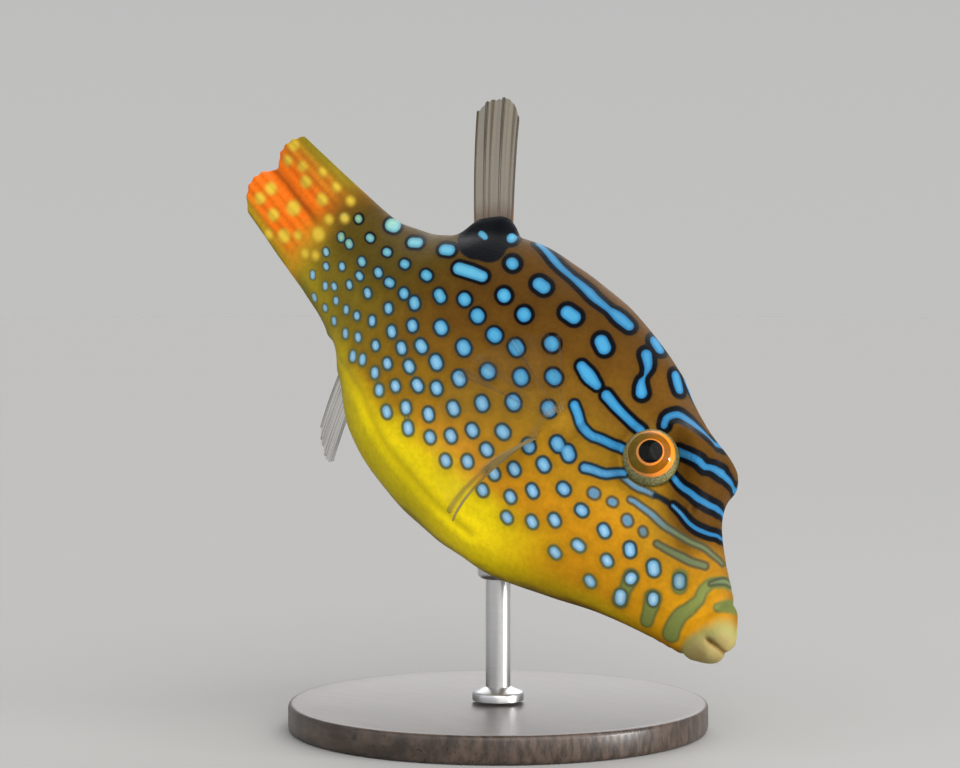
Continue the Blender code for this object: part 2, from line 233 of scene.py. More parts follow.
class PufferColours(bpy.types.PropertyGroup):
    """Colours of the fish"""

    back: FloatVectorProperty(
        name="Back", description="Brown of the back", subtype="COLOR", default=(0.115, 0.050, 0.005)
    )
    flank: FloatVectorProperty(
        name="Flank", description="Brown orange of the upper flank", subtype="COLOR",
        default=(0.20, 0.095, 0.008),
    )
    cheek: FloatVectorProperty(
        name="Cheek", description="Orange of the cheek and lower flank", subtype="COLOR",
        default=(0.57, 0.255, 0.007),
    )
    belly: FloatVectorProperty(
        name="Belly", description="Yellow of the belly", subtype="COLOR", default=(0.72, 0.54, 0.006)
    )
    # This olive is the tail stalk's and tail fin edges' own colour; along the belly's lower edge it serves as
    # painted shade
    olive: FloatVectorProperty(
        name="Olive", description="Olive of the belly's edge and the tail stalk", subtype="COLOR",
        default=(0.17, 0.145, 0.010),
    )
    spot: FloatVectorProperty(
        name="Spots", description="Blue of the spots and lines", subtype="COLOR",
        default=(0.046, 0.27, 0.50),
    )
    ink: FloatVectorProperty(
        name="Rings", description="Near black of the rings round the spots", subtype="COLOR",
        default=(0.0012, 0.002, 0.0035),
    )
    bar: FloatVectorProperty(
        name="Snout bars", description="Olive green of the bars on the snout", subtype="COLOR",
        default=(0.165, 0.195, 0.050),
    )
    lip: FloatVectorProperty(
        name="Lips", description="Cream of the lips", subtype="COLOR", default=(0.33, 0.262, 0.10)
    )
    tail: FloatVectorProperty(
        name="Tail fin", description="Orange of the tail fin", subtype="COLOR",
        default=(0.84, 0.165, 0.006),
    )
    ray: FloatVectorProperty(
        name="Fin rays", description="Brown of the rays in the clear fins", subtype="COLOR",
        default=(0.042, 0.026, 0.015),
    )
    web: FloatVectorProperty(
        name="Fin web", description="Tint of the clear fin webs", subtype="COLOR",
        default=(0.15, 0.107, 0.036),
    )
    iris: FloatVectorProperty(
        name="Iris", description="Brown of the iris", subtype="COLOR", default=(0.30, 0.10, 0.002)
    )
    iris_ring: FloatVectorProperty(
        name="Iris rings", description="Orange of the rings in the eye", subtype="COLOR",
        default=(0.90, 0.24, 0.02),
    )


class PufferStand(bpy.types.PropertyGroup):
    """Sizes and colours of the stand"""

    edge: FloatProperty(
        name="Edge", description="Rounding of the base's edges", default=0.0006, unit="LENGTH"
    )
    rim_width: FloatProperty(
        name="Rim", description="Width of the raised rim round the base's top", default=0.0018, unit="LENGTH"
    )
    dish: FloatProperty(
        name="Dish", description="Depth of the base's top inside its rim", default=0.0003, unit="LENGTH"
    )
    rod_radius: FloatProperty(
        name="Rod radius", description="Radius of the rod", default=0.0013, unit="LENGTH"
    )
    foot_height: FloatProperty(
        name="Foot height", description="Height of the rod's round foot", default=0.0008, unit="LENGTH"
    )
    foot_slope: FloatProperty(
        name="Foot slope", description="Height over which the foot narrows to the rod",
        default=0.0006, unit="LENGTH",
    )
    wood: FloatVectorProperty(
        name="Base", description="Stain of the wooden base", subtype="COLOR", default=(0.045, 0.030, 0.022)
    )
    steel: FloatVectorProperty(
        name="Rod", description="Colour of the steel rod", subtype="COLOR", default=(0.62, 0.62, 0.63)
    )


class PufferStudio(bpy.types.PropertyGroup):
    """Floor and light"""

    floor: FloatVectorProperty(
        name="Floor", description="Colour of the floor", subtype="COLOR", default=(0.395, 0.392, 0.385)
    )
    horizon: FloatVectorProperty(
        name="Horizon", description="Tone of the studio's far wall", subtype="COLOR",
        default=(0.530, 0.530, 0.522),
    )
    key: FloatProperty(name="Key light", description="Strength of the key light", default=3.0)
    fill: FloatProperty(name="Fill light", description="Strength of the fill light", default=1.4)
    rim: FloatProperty(name="Rim light", description="Strength of the light from behind", default=1.5)
    spark: FloatProperty(
        name="Spark", description="Power of the small light that glints in the eye",
        default=0.85, unit="POWER",
    )
    sky: FloatProperty(name="Sky", description="Strength of the even light from all round", default=1.0)


# Curves and the straight body


def through(stations, x):
    """Smooth value at x through (place, value) stations, with no overshoot between them."""
    place = np.array([s[0] for s in stations])
    value = np.array([s[1] for s in stations])
    step = np.diff(place)
    rise = np.diff(value) / step
    slope = np.concatenate((rise[:1], np.zeros(len(rise) - 1), rise[-1:]))
    for i in range(1, len(rise)):
        if rise[i - 1] * rise[i] > 0:
            ahead = 2 * step[i] + step[i - 1]
            behind = step[i] + 2 * step[i - 1]
            slope[i] = (ahead + behind) / (ahead / rise[i - 1] + behind / rise[i])
    x = np.clip(x, place[0], place[-1])
    k = np.clip(np.searchsorted(place, x, side="right") - 1, 0, len(step) - 1)
    t = (x - place[k]) / step[k]
    start = (2 * t**3 - 3 * t**2 + 1) * value[k] + (t**3 - 2 * t**2 + t) * step[k] * slope[k]
    end = (3 * t**2 - 2 * t**3) * value[k + 1] + (t**3 - t**2) * step[k] * slope[k + 1]
    return start + end


def ease(t):
    """0 to 1 with a soft start and end."""
    t = np.clip(t, 0.0, 1.0)
    return t * t * (3 - 2 * t)


def bump(x, width):
    """1 where x is 0, falling off softly over the width."""
    return np.exp(-((x / width) ** 2))


def outline(x, turn, brow_swell):
    """Half outline of the straight fish at stations x: y and z at each turn from back (0) to belly (pi)."""
    top = through(BACK, x)
    bottom = through(BELLY, x)
    middle = bottom + WIDEST_SHARE * (top - bottom)
    up = np.cos(turn)
    out = np.maximum(np.sin(turn), 0.0)
    z = middle + np.where(up > 0, top - middle, middle - bottom) * up
    closing = np.where(up > 0, through(CROWN, x), through(KEEL, x))
    brow = brow_swell * bump(x - BROW_STATION, BROW_LENGTH) * bump(z - BROW_HEIGHT, BROW_SPREAD)
    y = through(HALF_WIDTH, x) * out**closing + brow * np.minimum(1.0, 3.0 * out)
    return y, z


def half_rings(stations, brow_swell):
    """Half rings with their points evenly spread from back to belly, and each half ring's length."""
    dense = math.pi * ease(np.linspace(0.0, 1.0, 500))
    share = np.linspace(0.0, 1.0, HALF_RING + 1)
    ys = np.zeros((len(stations), HALF_RING + 1))
    zs = np.zeros_like(ys)
    girth = np.zeros(len(stations))
    for i, station in enumerate(stations):
        y, z = outline(station, dense, brow_swell)
        arc = np.concatenate(([0.0], np.cumsum(np.hypot(np.diff(y), np.diff(z)))))
        girth[i] = arc[-1]
        ys[i] = np.interp(share, arc / arc[-1], y)
        zs[i] = np.interp(share, arc / arc[-1], z)
    return ys, zs, girth


def flank(station, height, brow_swell):
    """Half width of the straight body at a station and a height."""
    y, z = outline(station, np.linspace(0.0, math.pi, 721), brow_swell)
    return float(np.interp(-height, -z, y))


def fish_axes():
    """The fish's own directions in the model: forward, left and up."""
    forward = np.array((math.cos(NOSE_DOWN), 0.0, -math.sin(NOSE_DOWN)))
    level_up = np.array((math.sin(NOSE_DOWN), 0.0, math.cos(NOSE_DOWN)))
    level_left = np.array((0.0, 1.0, 0.0))
    left = level_left * math.cos(BANK) - level_up * math.sin(BANK)
    up = level_up * math.cos(BANK) + level_left * math.sin(BANK)
    return forward, left, up


def place(points):
    """Carry straight points onto the turned spine and into the pose, in metres."""
    points = np.asarray(points, float)
    ends = np.linspace(0.0, FULL_LENGTH + SPARE_SPINE, SPINE_POINTS)
    angle = TAIL_TURN * ease((ends - TURN_FROM) / (TURN_TO - TURN_FROM))
    middles = 0.5 * (angle[1:] + angle[:-1])
    step = ends[1] - ends[0]
    back = np.concatenate(([0.0], np.cumsum(np.cos(middles)) * step))
    left = np.concatenate(([0.0], np.cumsum(np.sin(middles)) * step))
    x, y, z = points[..., 0], points[..., 1], points[..., 2]
    turn = np.interp(x, ends, angle)
    over = np.minimum(x, 0.0)
    along = np.interp(x, ends, back) + over - y * np.sin(turn)
    aside = np.interp(x, ends, left) + y * np.cos(turn)
    forward, leftward, upward = fish_axes()
    posed = SNOUT_TIP - along[..., None] * forward + aside[..., None] * leftward + z[..., None] * upward
    return posed * MM


# The skin


def skin_stations():
    """Stations of the rings, closest together on the snout and head."""
    body = [np.linspace(*rows, endpoint=False) for rows in SKIN_ROWS]
    fin = BODY_LENGTH + TAIL_FIN_LENGTH * np.linspace(0.0, 1.0, FIN_ROWS) ** 0.96
    return np.concatenate((*body, fin))


def tail_reach(across):
    """Share of the tail fin's length that the ray at this height (-1 belly edge to 1 back edge) reaches."""
    corner = np.where(across > 0, 0.16, 0.32)
    notch = 0.085 * bump(across - TAIL_NOTCH, 0.13)
    ripple = 0.005 * np.cos(across * TAIL_RAYS * math.pi)
    return 1 - corner * np.abs(across) ** 3 - notch + ripple


def tail_fin_rows(xs, ys, zs, out, ray_ridge):
    """Shape the rings behind the stalk as a ribbed fin, and give the sideways fold of its web."""
    across = np.clip(zs / TAIL_HALF_HEIGHT, -1.0, 1.0)
    out = out[:, None]
    xs[:] = BODY_LENGTH + TAIL_FIN_LENGTH * out * tail_reach(across)
    rim = np.minimum(1.0, np.sqrt(np.clip((1 - out) / 0.035, 0.0, 1.0)))
    ridge = ray_ridge * ease(out / 0.25) * rim * (1 - np.abs(across) ** 6)
    ys[:] = ys * rim + ridge * (0.5 + 0.5 * np.cos(across * TAIL_RAYS * math.pi))
    crease = bump(across - TAIL_NOTCH, 0.07) * ease(out / 0.3)
    return 1.5 * out * bump(across - TAIL_NOTCH, 0.4) - 0.5 * crease


def straight_skin(sizes):
    """Net of the straight skin from the snout's tip to the tail fin's edge, its rows and their girths."""
    stations = skin_stations()
    ys, zs, girth = half_rings(stations, sizes.brow_swell / MM)
    xs = np.repeat(stations[:, None], HALF_RING + 1, axis=1)
    fin = np.searchsorted(stations, BODY_LENGTH, side="right")
    out = (stations[fin:] - BODY_LENGTH) / TAIL_FIN_LENGTH
    fold = np.zeros_like(xs)
    fold[fin:] = tail_fin_rows(xs[fin:], ys[fin:], zs[fin:], out, sizes.ray_ridge / MM)
    left = np.stack((xs, ys + fold, zs), axis=-1)
    right = np.stack((xs, fold - ys, zs), axis=-1)[:, ::-1][:, 1:-1]
    body = np.concatenate((left, right), axis=1)

    middle = np.array((0.0, 0.0, MOUTH_LEVEL))
    shares = np.linspace(0.0, 1.0, CAP_ROWS, endpoint=False)
    cap_stations = -CAP_DEPTH * (1 - shares * shares)
    caps = middle + shares[:, None, None] * (body[0] - middle)
    caps[..., 0] = cap_stations[:, None]
    rows = np.concatenate((cap_stations, stations))
    return np.concatenate((caps, body)), rows, np.concatenate((girth[0] * shares, girth))


def net_normals(net):
    """Outward directions over the net."""
    along = np.gradient(net, axis=0)
    around = np.roll(net, -1, axis=1) - np.roll(net, 1, axis=1)
    normal = np.cross(along, around)
    length = np.linalg.norm(normal, axis=2, keepdims=True)
    normal /= np.maximum(length, 1e-12)
    if normal[len(net) // 2, 0, 2] < 0:
        normal *= -1
    normal[0] = (-1.0, 0.0, 0.0)
    return normal


def share_of_girth():
    """Place of each column between the back's midline (0) and the belly's (1)."""
    column = np.arange(RING)
    return np.where(column <= HALF_RING, column, RING - column) / HALF_RING


def eye_frame(side, brow_swell):
    """Straight centre and outward axis of one eye."""
    width = flank(EYE_STATION, EYE_HEIGHT, brow_swell)
    centre = np.array((EYE_STATION, side * (width - EYE_SINK), EYE_HEIGHT))
    axis = np.array(EYE_AXIS) * (1.0, side, 1.0)
    return centre, axis / np.linalg.norm(axis)


def mouth_line(x, z):
    """Height over the line where the lips meet, which drops towards the corners of the mouth."""
    return z - MOUTH_LEVEL + 0.10 * np.clip(x, 0.0, 3.0)


def from_axis(away, axis):
    """Distance of points from an axis through their origin, and their height along it."""
    rise = away @ axis
    return np.sqrt(np.maximum(np.sum(away * away, axis=-1) - rise * rise, 0.0)), rise


def snout_relief(x, z, mouth_gap):
    """Lips, the slit between them and the folds of skin behind them."""
    gap = mouth_line(x, z)
    open_part = 1 - ease((x - 0.7) / 0.9)
    height = 0.26 * bump(np.abs(gap) - 1.0, 0.75) * bump(x - 0.5, 1.3)
    height -= mouth_gap * bump(gap, 0.25) * open_part * (0.25 + 0.75 * ease(x / 0.9))
    height -= 0.16 * bump(x - 3.1 - 0.25 * np.cos(z), 0.34)
    height += 0.10 * bump(x - 2.1, 0.5)
    for station, depth in SNOUT_FOLDS:
        height -= depth * bump(x - station, 0.28)
    return height


def socket_relief(height, net, near, side, sizes):
    """Lead the skin under one eyeball, through a round opening with a raised lid."""
    centre, axis = eye_frame(side, sizes.brow_swell / MM)
    away = net - centre
    spread, rise = from_axis(away, axis)
    rim = from_axis(away - OPENING_SHIFT, axis)[0]
    radius = sizes.eye_radius / MM
    ball = np.sqrt(np.maximum(radius * radius - np.minimum(spread, 0.98 * radius) ** 2, 0.0))
    inside = 1 - ease((rim - OPENING_RADIUS) / 0.30)
    target = OPENING_RISE + (ball - SOCKET_DEPTH - OPENING_RISE) * inside
    around = near * (1 - ease((rim - SOCKET_RADIUS) / 1.25))
    height = height * (1 - around) + around * (target - rise)
    return height + near * sizes.lid_rise / MM * bump(rim - LID_RADIUS, 0.26)


def cheek_relief(x, z, near):
    """Nostril, gill slit and the swelling at the pectoral fin's root, on one side."""
    nostril = np.hypot(x - NOSTRIL[0], z - NOSTRIL[1])
    height = near * (0.16 * bump(nostril - 0.36, 0.20) - 0.26 * bump(nostril, 0.22))
    slit = np.abs(x - GILL_SLIT[0] - 0.055 * (z - GILL_SLIT[1]) ** 2)
    slit_length = 1 - ease((np.abs(z - 4.2) - 2.0) / 0.9)
    height -= near * 0.34 * bump(slit, 0.22) * slit_length
    height += near * 0.20 * bump(x - 24.1, 0.8) * slit_length
    lobe = bump((x - PECTORAL_STATION) / 1.5, 1.0) * bump((z - PECTORAL_HEIGHT) / 2.5, 1.0)
    return height + near * 0.62 * lobe


def midline_relief(x, y, z):
    """Roots of the dorsal and anal fins, the swelling ahead of the anal fin and the belly's low keel."""
    dorsal = 0.5 * (DORSAL_ROOT[0] + DORSAL_ROOT[1])
    anal = 0.5 * (ANAL_ROOT[0] + ANAL_ROOT[1])
    height = 2.3 * bump(y, 1.5) * np.exp(-(((x - dorsal) / 2.2) ** 4)) * (z > 0)
    height += 0.35 * bump(y, 1.0) * bump(x - anal, 2.8) * (z < 0)
    height += 0.45 * bump(y, 0.7) * bump(x - VENT_STATION, 0.8) * (z < 0)
    height += 0.12 * bump(y, 0.8) * ease((x - 28.0) / 5.0) * (1 - ease((x - 46.0) / 5.0)) * (z < 0)
    return height


def relief(net, sizes):
    """Height of the skin's folds, rims and swellings over the plain body, in millimetres."""
    x, y, z = net[..., 0], net[..., 1], net[..., 2]
    height = snout_relief(x, z, sizes.mouth_gap / MM)
    crest = bump(x - CREST[0], 2.9) * bump(z - CREST[1], 2.8)
    height += crest * (0.75 + 0.20 * ease(np.abs(y) / 2.5))
    for side in (1, -1):
        near = ease(side * y / 1.5)
        height = socket_relief(height, net, near, side, sizes)
        height += cheek_relief(x, z, near)
    height += midline_relief(x, y, z)
    swell = np.sin(0.55 * x + 0.8 * np.sin(0.4 * z)) * np.sin(0.45 * z + 1.3)
    swell += 0.6 * np.sin(0.95 * x - 0.5 * z + 2.0)
    return height + 0.045 * swell * ease((x - 20.0) / 8.0) * (1 - ease((x - 66.0) / 6.0))


# Markings, given by stations and by shares of the girth from the back (0) to the belly (1)

# Marks are nearly round when looked at from this far ahead of square to the flank, more so on the turned
# tail. Only this share of their depth along that look counts, on the right side (-1) and on the left (1)
LOOK_AHEAD = math.radians(34.0)
LOOK_AHEAD_TAIL = math.radians(14.0)
DEPTH_KEPT = {-1: 0.32, 1: 0.63}
DEPTH_KEPT_TAIL = {-1: 0.17, 1: 0.50}
# How far a mark reaches along the body, the distance that stands for none, how near the midline a mark
# may cross it, the girth of half a ring that lines are measured with, and the length of a line's pieces
MARK_REACH = 4.0
NO_MARK = 9.0
CROSSING = 0.35
USUAL_GIRTH = 32.0
LINE_STEP = 0.5

# Rows of spots: how wide the spots are for their place, how much longer than wide they are in millimetres,
# how the long way leans down towards the head in degrees, then each spot's station and share
SPOT_ROWS = (
    (0.98, 0.85, 4, (31.0, 0.190), (36.4, 0.190), (42.0, 0.170)),
    (1.00, 0.20, 4, (46.8, 0.169), (34.6, 0.289), (39.8, 0.274), (43.4, 0.267)),
    (1.30, 0.60, -6, (54.3, 0.232), (59.4, 0.205)),
    (1.00, 0.30, 0, (69.6, 0.229)),
    (1.75, 0.70, -12, (65.2, 0.110)),
    (1.00, 0.35, 4, (31.2, 0.350), (37.0, 0.359), (40.0, 0.370), (43.3, 0.360), (46.2, 0.350),
     (52.6, 0.370), (56.6, 0.356), (60.6, 0.330), (65.1, 0.290)),
    (0.90, 0.90, 10, (48.8, 0.390)),
    (0.98, 0.36, 8, (28.7, 0.420), (33.8, 0.410), (37.1, 0.456), (41.4, 0.450), (45.3, 0.454),
     (50.6, 0.460), (52.8, 0.467), (55.8, 0.461), (58.5, 0.451), (62.4, 0.450), (66.8, 0.410),
     (69.0, 0.420), (71.7, 0.298)),
    (0.97, 0.38, 12, (23.7, 0.470), (25.3, 0.473), (27.4, 0.530), (30.7, 0.548), (32.2, 0.472),
     (34.8, 0.530), (39.0, 0.520), (42.6, 0.530), (45.4, 0.530), (48.3, 0.510), (52.9, 0.540),
     (57.3, 0.552), (60.6, 0.520), (64.5, 0.551), (69.1, 0.580)),
    (0.97, 0.36, 16, (21.4, 0.560), (24.8, 0.542), (26.9, 0.605), (30.7, 0.613), (33.5, 0.600),
     (37.0, 0.590), (40.3, 0.580), (44.8, 0.593), (47.3, 0.577), (50.0, 0.570), (53.6, 0.614),
     (61.0, 0.591), (67.1, 0.639)),
    (0.96, 0.34, 20, (9.7, 0.520), (12.6, 0.574), (15.6, 0.620), (18.5, 0.590), (20.0, 0.660),
     (23.8, 0.620), (28.4, 0.650), (31.6, 0.671), (35.1, 0.650), (39.0, 0.647), (42.4, 0.611),
     (44.6, 0.660), (47.5, 0.640), (50.6, 0.641), (56.2, 0.650), (63.2, 0.670)),
    (0.94, 0.34, 25, (13.6, 0.688), (16.6, 0.710), (21.8, 0.700), (25.3, 0.674), (28.3, 0.707),
     (33.8, 0.710), (37.1, 0.691), (41.8, 0.678), (46.2, 0.709), (48.2, 0.690), (51.1, 0.710),
     (53.9, 0.696), (58.6, 0.683), (61.4, 0.710), (64.8, 0.721), (68.4, 0.770)),
    (0.92, 0.34, 30, (13.9, 0.808), (18.1, 0.762), (24.3, 0.730), (40.1, 0.715), (43.6, 0.729),
     (52.9, 0.750), (56.2, 0.740), (59.9, 0.790), (62.8, 0.809), (66.0, 0.858)),
)
# Lines and run-together spots: the points each runs through, then its radius at its start, middle and end
LINES = (
    (((19.0, 0.208), (19.8, 0.174), (19.7, 0.140), (18.7, 0.119), (17.7, 0.092), (16.8, 0.000)),
     (0.34, 0.34, 0.28)),
    (((15.5, 0.235), (15.1, 0.216), (14.3, 0.180), (13.9, 0.149), (13.9, 0.070), (14.0, 0.000)),
     (0.42, 0.29, 0.42)),
    (((14.7, 0.299), (13.8, 0.266), (12.8, 0.210), (11.9, 0.155), (11.2, 0.071), (11.1, 0.000)),
     (0.28, 0.31, 0.28)),
    (((12.9, 0.310), (11.9, 0.271), (10.7, 0.229), (9.7, 0.171), (9.0, 0.090), (8.8, 0.000)),
     (0.16, 0.21, 0.16)),
    (((30.2, 0.276), (28.6, 0.280), (27.4, 0.281)), (0.52, 0.72, 0.46)),
    (((25.8, 0.281), (24.5, 0.280), (23.2, 0.275), (21.6, 0.271), (20.0, 0.271)), (0.52, 0.40, 0.40)),
    (((27.2, 0.364), (26.3, 0.373), (24.8, 0.390), (23.6, 0.388), (22.5, 0.373), (19.8, 0.350)),
     (0.44, 0.40, 0.38)),
    (((21.4, 0.470), (20.7, 0.460), (19.5, 0.449), (18.8, 0.430), (18.0, 0.412)), (0.40, 0.36, 0.30)),
    (((48.9, 0.024), (45.9, 0.054), (43.3, 0.072), (41.4, 0.080)), (0.28, 0.40, 0.30)),
    (((41.4, 0.080), (38.6, 0.088), (36.6, 0.096), (34.8, 0.096)), (0.30, 0.50, 0.32)),
    (((34.8, 0.096), (33.3, 0.090), (31.9, 0.084)), (0.32, 0.62, 0.52)),
    (((27.5, 0.108), (26.1, 0.129), (25.2, 0.157)), (0.56, 0.44, 0.10)),
    (((25.2, 0.157), (24.8, 0.176), (23.8, 0.192)), (0.10, 0.44, 0.58)),
    (((29.4, 0.034), (28.2, 0.040)), (0.56, 0.60, 0.56)),
    (((24.6, 0.040), (23.0, 0.052)), (0.54, 0.58, 0.50)),
    (((50.4, 0.284), (49.0, 0.272), (47.4, 0.262)), (0.66, 0.66, 0.58)),
    (((10.7, 0.650), (10.7, 0.662)), (0.50, 0.50, 0.50)),
    (((10.6, 0.765), (10.4, 0.795)), (0.52, 0.54, 0.50)),
    (((7.8, 0.640), (7.6, 0.662)), (0.48, 0.50, 0.44)),
    (((7.2, 0.422), (6.9, 0.438)), (0.52, 0.52, 0.52)),
)
# Dull lines under the eye
FAINT_LINES = (
    (((15.9, 0.480), (14.8, 0.461), (13.5, 0.419), (11.9, 0.370), (10.5, 0.310)), (0.20, 0.26, 0.18)),
    (((10.5, 0.310), (9.3, 0.251), (8.1, 0.170), (7.1, 0.110), (6.4, 0.040)), (0.18, 0.16, 0.10)),
    (((11.2, 0.440), (10.0, 0.396), (8.8, 0.344), (7.7, 0.290), (6.7, 0.210)), (0.18, 0.27, 0.22)),
    (((17.7, 0.430), (16.4, 0.437), (15.4, 0.419), (14.7, 0.396)), (0.20, 0.24, 0.20)),
    (((18.9, 0.520), (18.7, 0.520)), (0.46, 0.46, 0.46)),
    (((17.0, 0.520), (16.8, 0.520)), (0.36, 0.36, 0.36)),
    (((14.8, 0.531), (14.6, 0.531)), (0.44, 0.44, 0.44)),
    (((13.0, 0.482), (12.8, 0.482)), (0.32, 0.32, 0.32)),
    (((4.6, 0.0), (4.8, 0.131), (5.0, 0.22)), (0.16, 0.18, 0.08)),
)
# Black lines and patches: under the eye, at the nape and round the dorsal fin's foot
PATCHES = (
    (((14.6, 0.392), (14.0, 0.362), (13.4, 0.334), (12.9, 0.312)), (0.24, 0.26, 0.26)),
    (((55.0, 0.000), (54.2, 0.080), (52.8, 0.150), (50.9, 0.155)), (1.9, 2.3, 1.7)),
    (((53.6, 0.000), (52.6, 0.060), (51.2, 0.110)), (1.5, 1.4, 1.2)),
    (((29.3, 0.030), (28.2, 0.062), (27.4, 0.100)), (0.12, 0.26, 0.42)),
    (((27.4, 0.281), (26.6, 0.282), (25.8, 0.281)), (0.22, 0.16, 0.22)),
)
PATCH_SPOTS = (
    (((51.4, 0.055), (51.0, 0.070)), (0.55, 0.55, 0.50)),
    (((54.2, 0.085), (53.0, 0.115)), (0.34, 0.36, 0.30)),
)
# Olive bars across the snout and tails of the spots behind it
BARS = (
    (((4.5, 0.000), (4.7, 0.131), (5.0, 0.220), (4.9, 0.298), (4.4, 0.376)), (0.50, 0.50, 0.55)),
    (((4.4, 0.376), (4.4, 0.483), (4.6, 0.590), (4.5, 0.684), (4.3, 0.780)), (0.55, 0.76, 0.86)),
    (((2.4, 0.000), (2.5, 0.120), (2.8, 0.235)), (0.55, 0.58, 0.42)),
    (((7.8, 0.645), (7.5, 0.690), (7.3, 0.740), (7.1, 0.815)), (0.88, 0.72, 0.66)),
    (((10.8, 0.648), (10.5, 0.720), (10.4, 0.795)), (0.82, 0.60, 0.84)),
    (((7.3, 0.410), (6.7, 0.450)), (0.74, 0.74, 0.74)),
)
# Edge of the loose skin of the belly
FOLD = (
    (60.0, 0.930), (56.4, 0.875), (51.6, 0.800), (48.5, 0.775), (43.0, 0.800), (36.0, 0.822), (27.0, 0.840),
)
# Soft yellow spots on the tail fin: station, share and radius
TAIL_SPOTS = (
    (89.1, 0.160, 0.62), (84.7, 0.250, 0.55), (82.3, 0.330, 0.66), (77.5, 0.330, 0.66), (86.5, 0.635, 0.66),
    (86.6, 0.780, 0.62), (82.5, 0.770, 0.64), (80.5, 0.580, 0.80), (78.5, 0.810, 0.74), (73.0, 0.550, 0.72),
    (73.7, 0.400, 0.48), (72.5, 0.740, 0.46), (70.4, 0.670, 0.46), (71.5, 0.300, 0.46), (82.5, 0.930, 0.50),
    (81.3, 0.150, 0.46), (77.3, 0.160, 0.48), (73.5, 0.160, 0.46), (87.8, 0.320, 0.56), (76.2, 0.700, 0.44),
)


def on_skin(net, rows, side, stations, shares):
    """Straight points on the net at stations and girth shares of one side."""
    i = np.clip(np.interp(stations, rows, np.arange(len(rows))), 0, len(rows) - 1.001)
    j = np.asarray(shares) * HALF_RING
    j = j if side > 0 else RING - j
    i0 = i.astype(int)
    j0 = np.floor(j).astype(int)
    fi = (i - i0)[:, None]
    fj = (j - j0)[:, None]
    a = net[i0, j0 % RING] * (1 - fj) + net[i0, (j0 + 1) % RING] * fj
    b = net[i0 + 1, j0 % RING] * (1 - fj) + net[i0 + 1, (j0 + 1) % RING] * fj
    return a * (1 - fi) + b * fi


def seen_from(vectors, side, station):
    """Vectors shortened along the sideways look, so that marks stay full where the skin turns away."""
    behind = ease((station - TURN_FROM) / (TURN_TO - TURN_FROM))
    ahead = LOOK_AHEAD + LOOK_AHEAD_TAIL * behind
    look = np.array((-math.sin(ahead), side * math.cos(ahead), 0.0))
    kept = DEPTH_KEPT[side] + (DEPTH_KEPT_TAIL[side] - DEPTH_KEPT[side]) * ease((station - 50.0) / 12.0)
    return vectors - (1 - kept) * (vectors @ look)[..., None] * look


def stamp(field, net, rows, side, start, end, radii):
    """Lower a distance field to that of one capsule between two straight points."""
    low, high = sorted((start[0], end[0]))
    near = np.flatnonzero((rows > low - MARK_REACH) & (rows < high + MARK_REACH))
    if not len(near):
        return
    patch = seen_from(net[near[0] : near[-1] + 1] - start, side, low)
    line = seen_from(end - start, side, low)
    t = np.clip((patch @ line) / max(float(line @ line), 1e-9), 0.0, 1.0)
    gap = np.linalg.norm(patch - t[..., None] * line, axis=-1)
    gap -= radii[0] + (radii[1] - radii[0]) * t
    if min(abs(start[1]), abs(end[1])) > CROSSING:
        columns = np.arange(RING)
        other = (columns > HALF_RING) if side > 0 else ((columns > 0) & (columns < HALF_RING))
        gap = np.where(other[None, :], NO_MARK, gap)
    field[near[0] : near[-1] + 1] = np.minimum(field[near[0] : near[-1] + 1], gap)


def stamp_line(field, net, rows, side, points, radii):
    """Stamp a smooth line through given points, its radius given at the front, middle and end."""
    points = np.array(points, float)
    lengths = np.hypot(np.diff(points[:, 0]), USUAL_GIRTH * np.diff(points[:, 1]))
    along = np.concatenate(([0.0], np.cumsum(lengths)))
    count = max(3, int(along[-1] / LINE_STEP) + 1)
    at = np.linspace(0.0, along[-1], count)
    stations = through(tuple(zip(along, points[:, 0])), at)
    shares = through(tuple(zip(along, points[:, 1])), at)
    path = on_skin(net, rows, side, stations, shares)
    wide = np.interp(at / along[-1], (0.0, 0.5, 1.0), radii)
    for i in range(count - 1):
        stamp(field, net, rows, side, path[i], path[i + 1], wide[i : i + 2])


def spot_radius(station, share):
    """Usual radius of a spot: largest on the middle of the back, smaller to the cheek, belly and tail."""
    radius = 0.72 - 0.31 * ease((station - 38.0) / 24.0) - 0.08 * (1 - ease((station - 22.0) / 10.0))
    return radius * (1 - 0.25 * ease((share - 0.42) / 0.22))


def stamp_row(field, net, rows, girth, side, row, rng):
    """Stamp a row of spots; the left side's are a little uneven against the right's."""
    size, stretch, lean = row[:3]
    uneven = 0.35 if side > 0 else 0.0
    for station, share in row[3:]:
        radius = size * spot_radius(station, share) * (1 + uneven * rng.uniform(-0.2, 0.2))
        half = 0.5 * stretch * rng.uniform(0.7, 1.3)
        turn = math.radians(lean + rng.uniform(-12.0, 12.0))
        station += uneven * rng.uniform(-1.0, 1.0)
        share += uneven * rng.uniform(-0.02, 0.02)
        along = half * math.cos(turn)
        down = half * math.sin(turn) / np.interp(station, rows, girth)
        ends = on_skin(
            net, rows, side, np.array((station + along, station - along)), (share - down, share + down)
        )
        stamp(field, net, rows, side, ends[0], ends[1], (radius, radius))


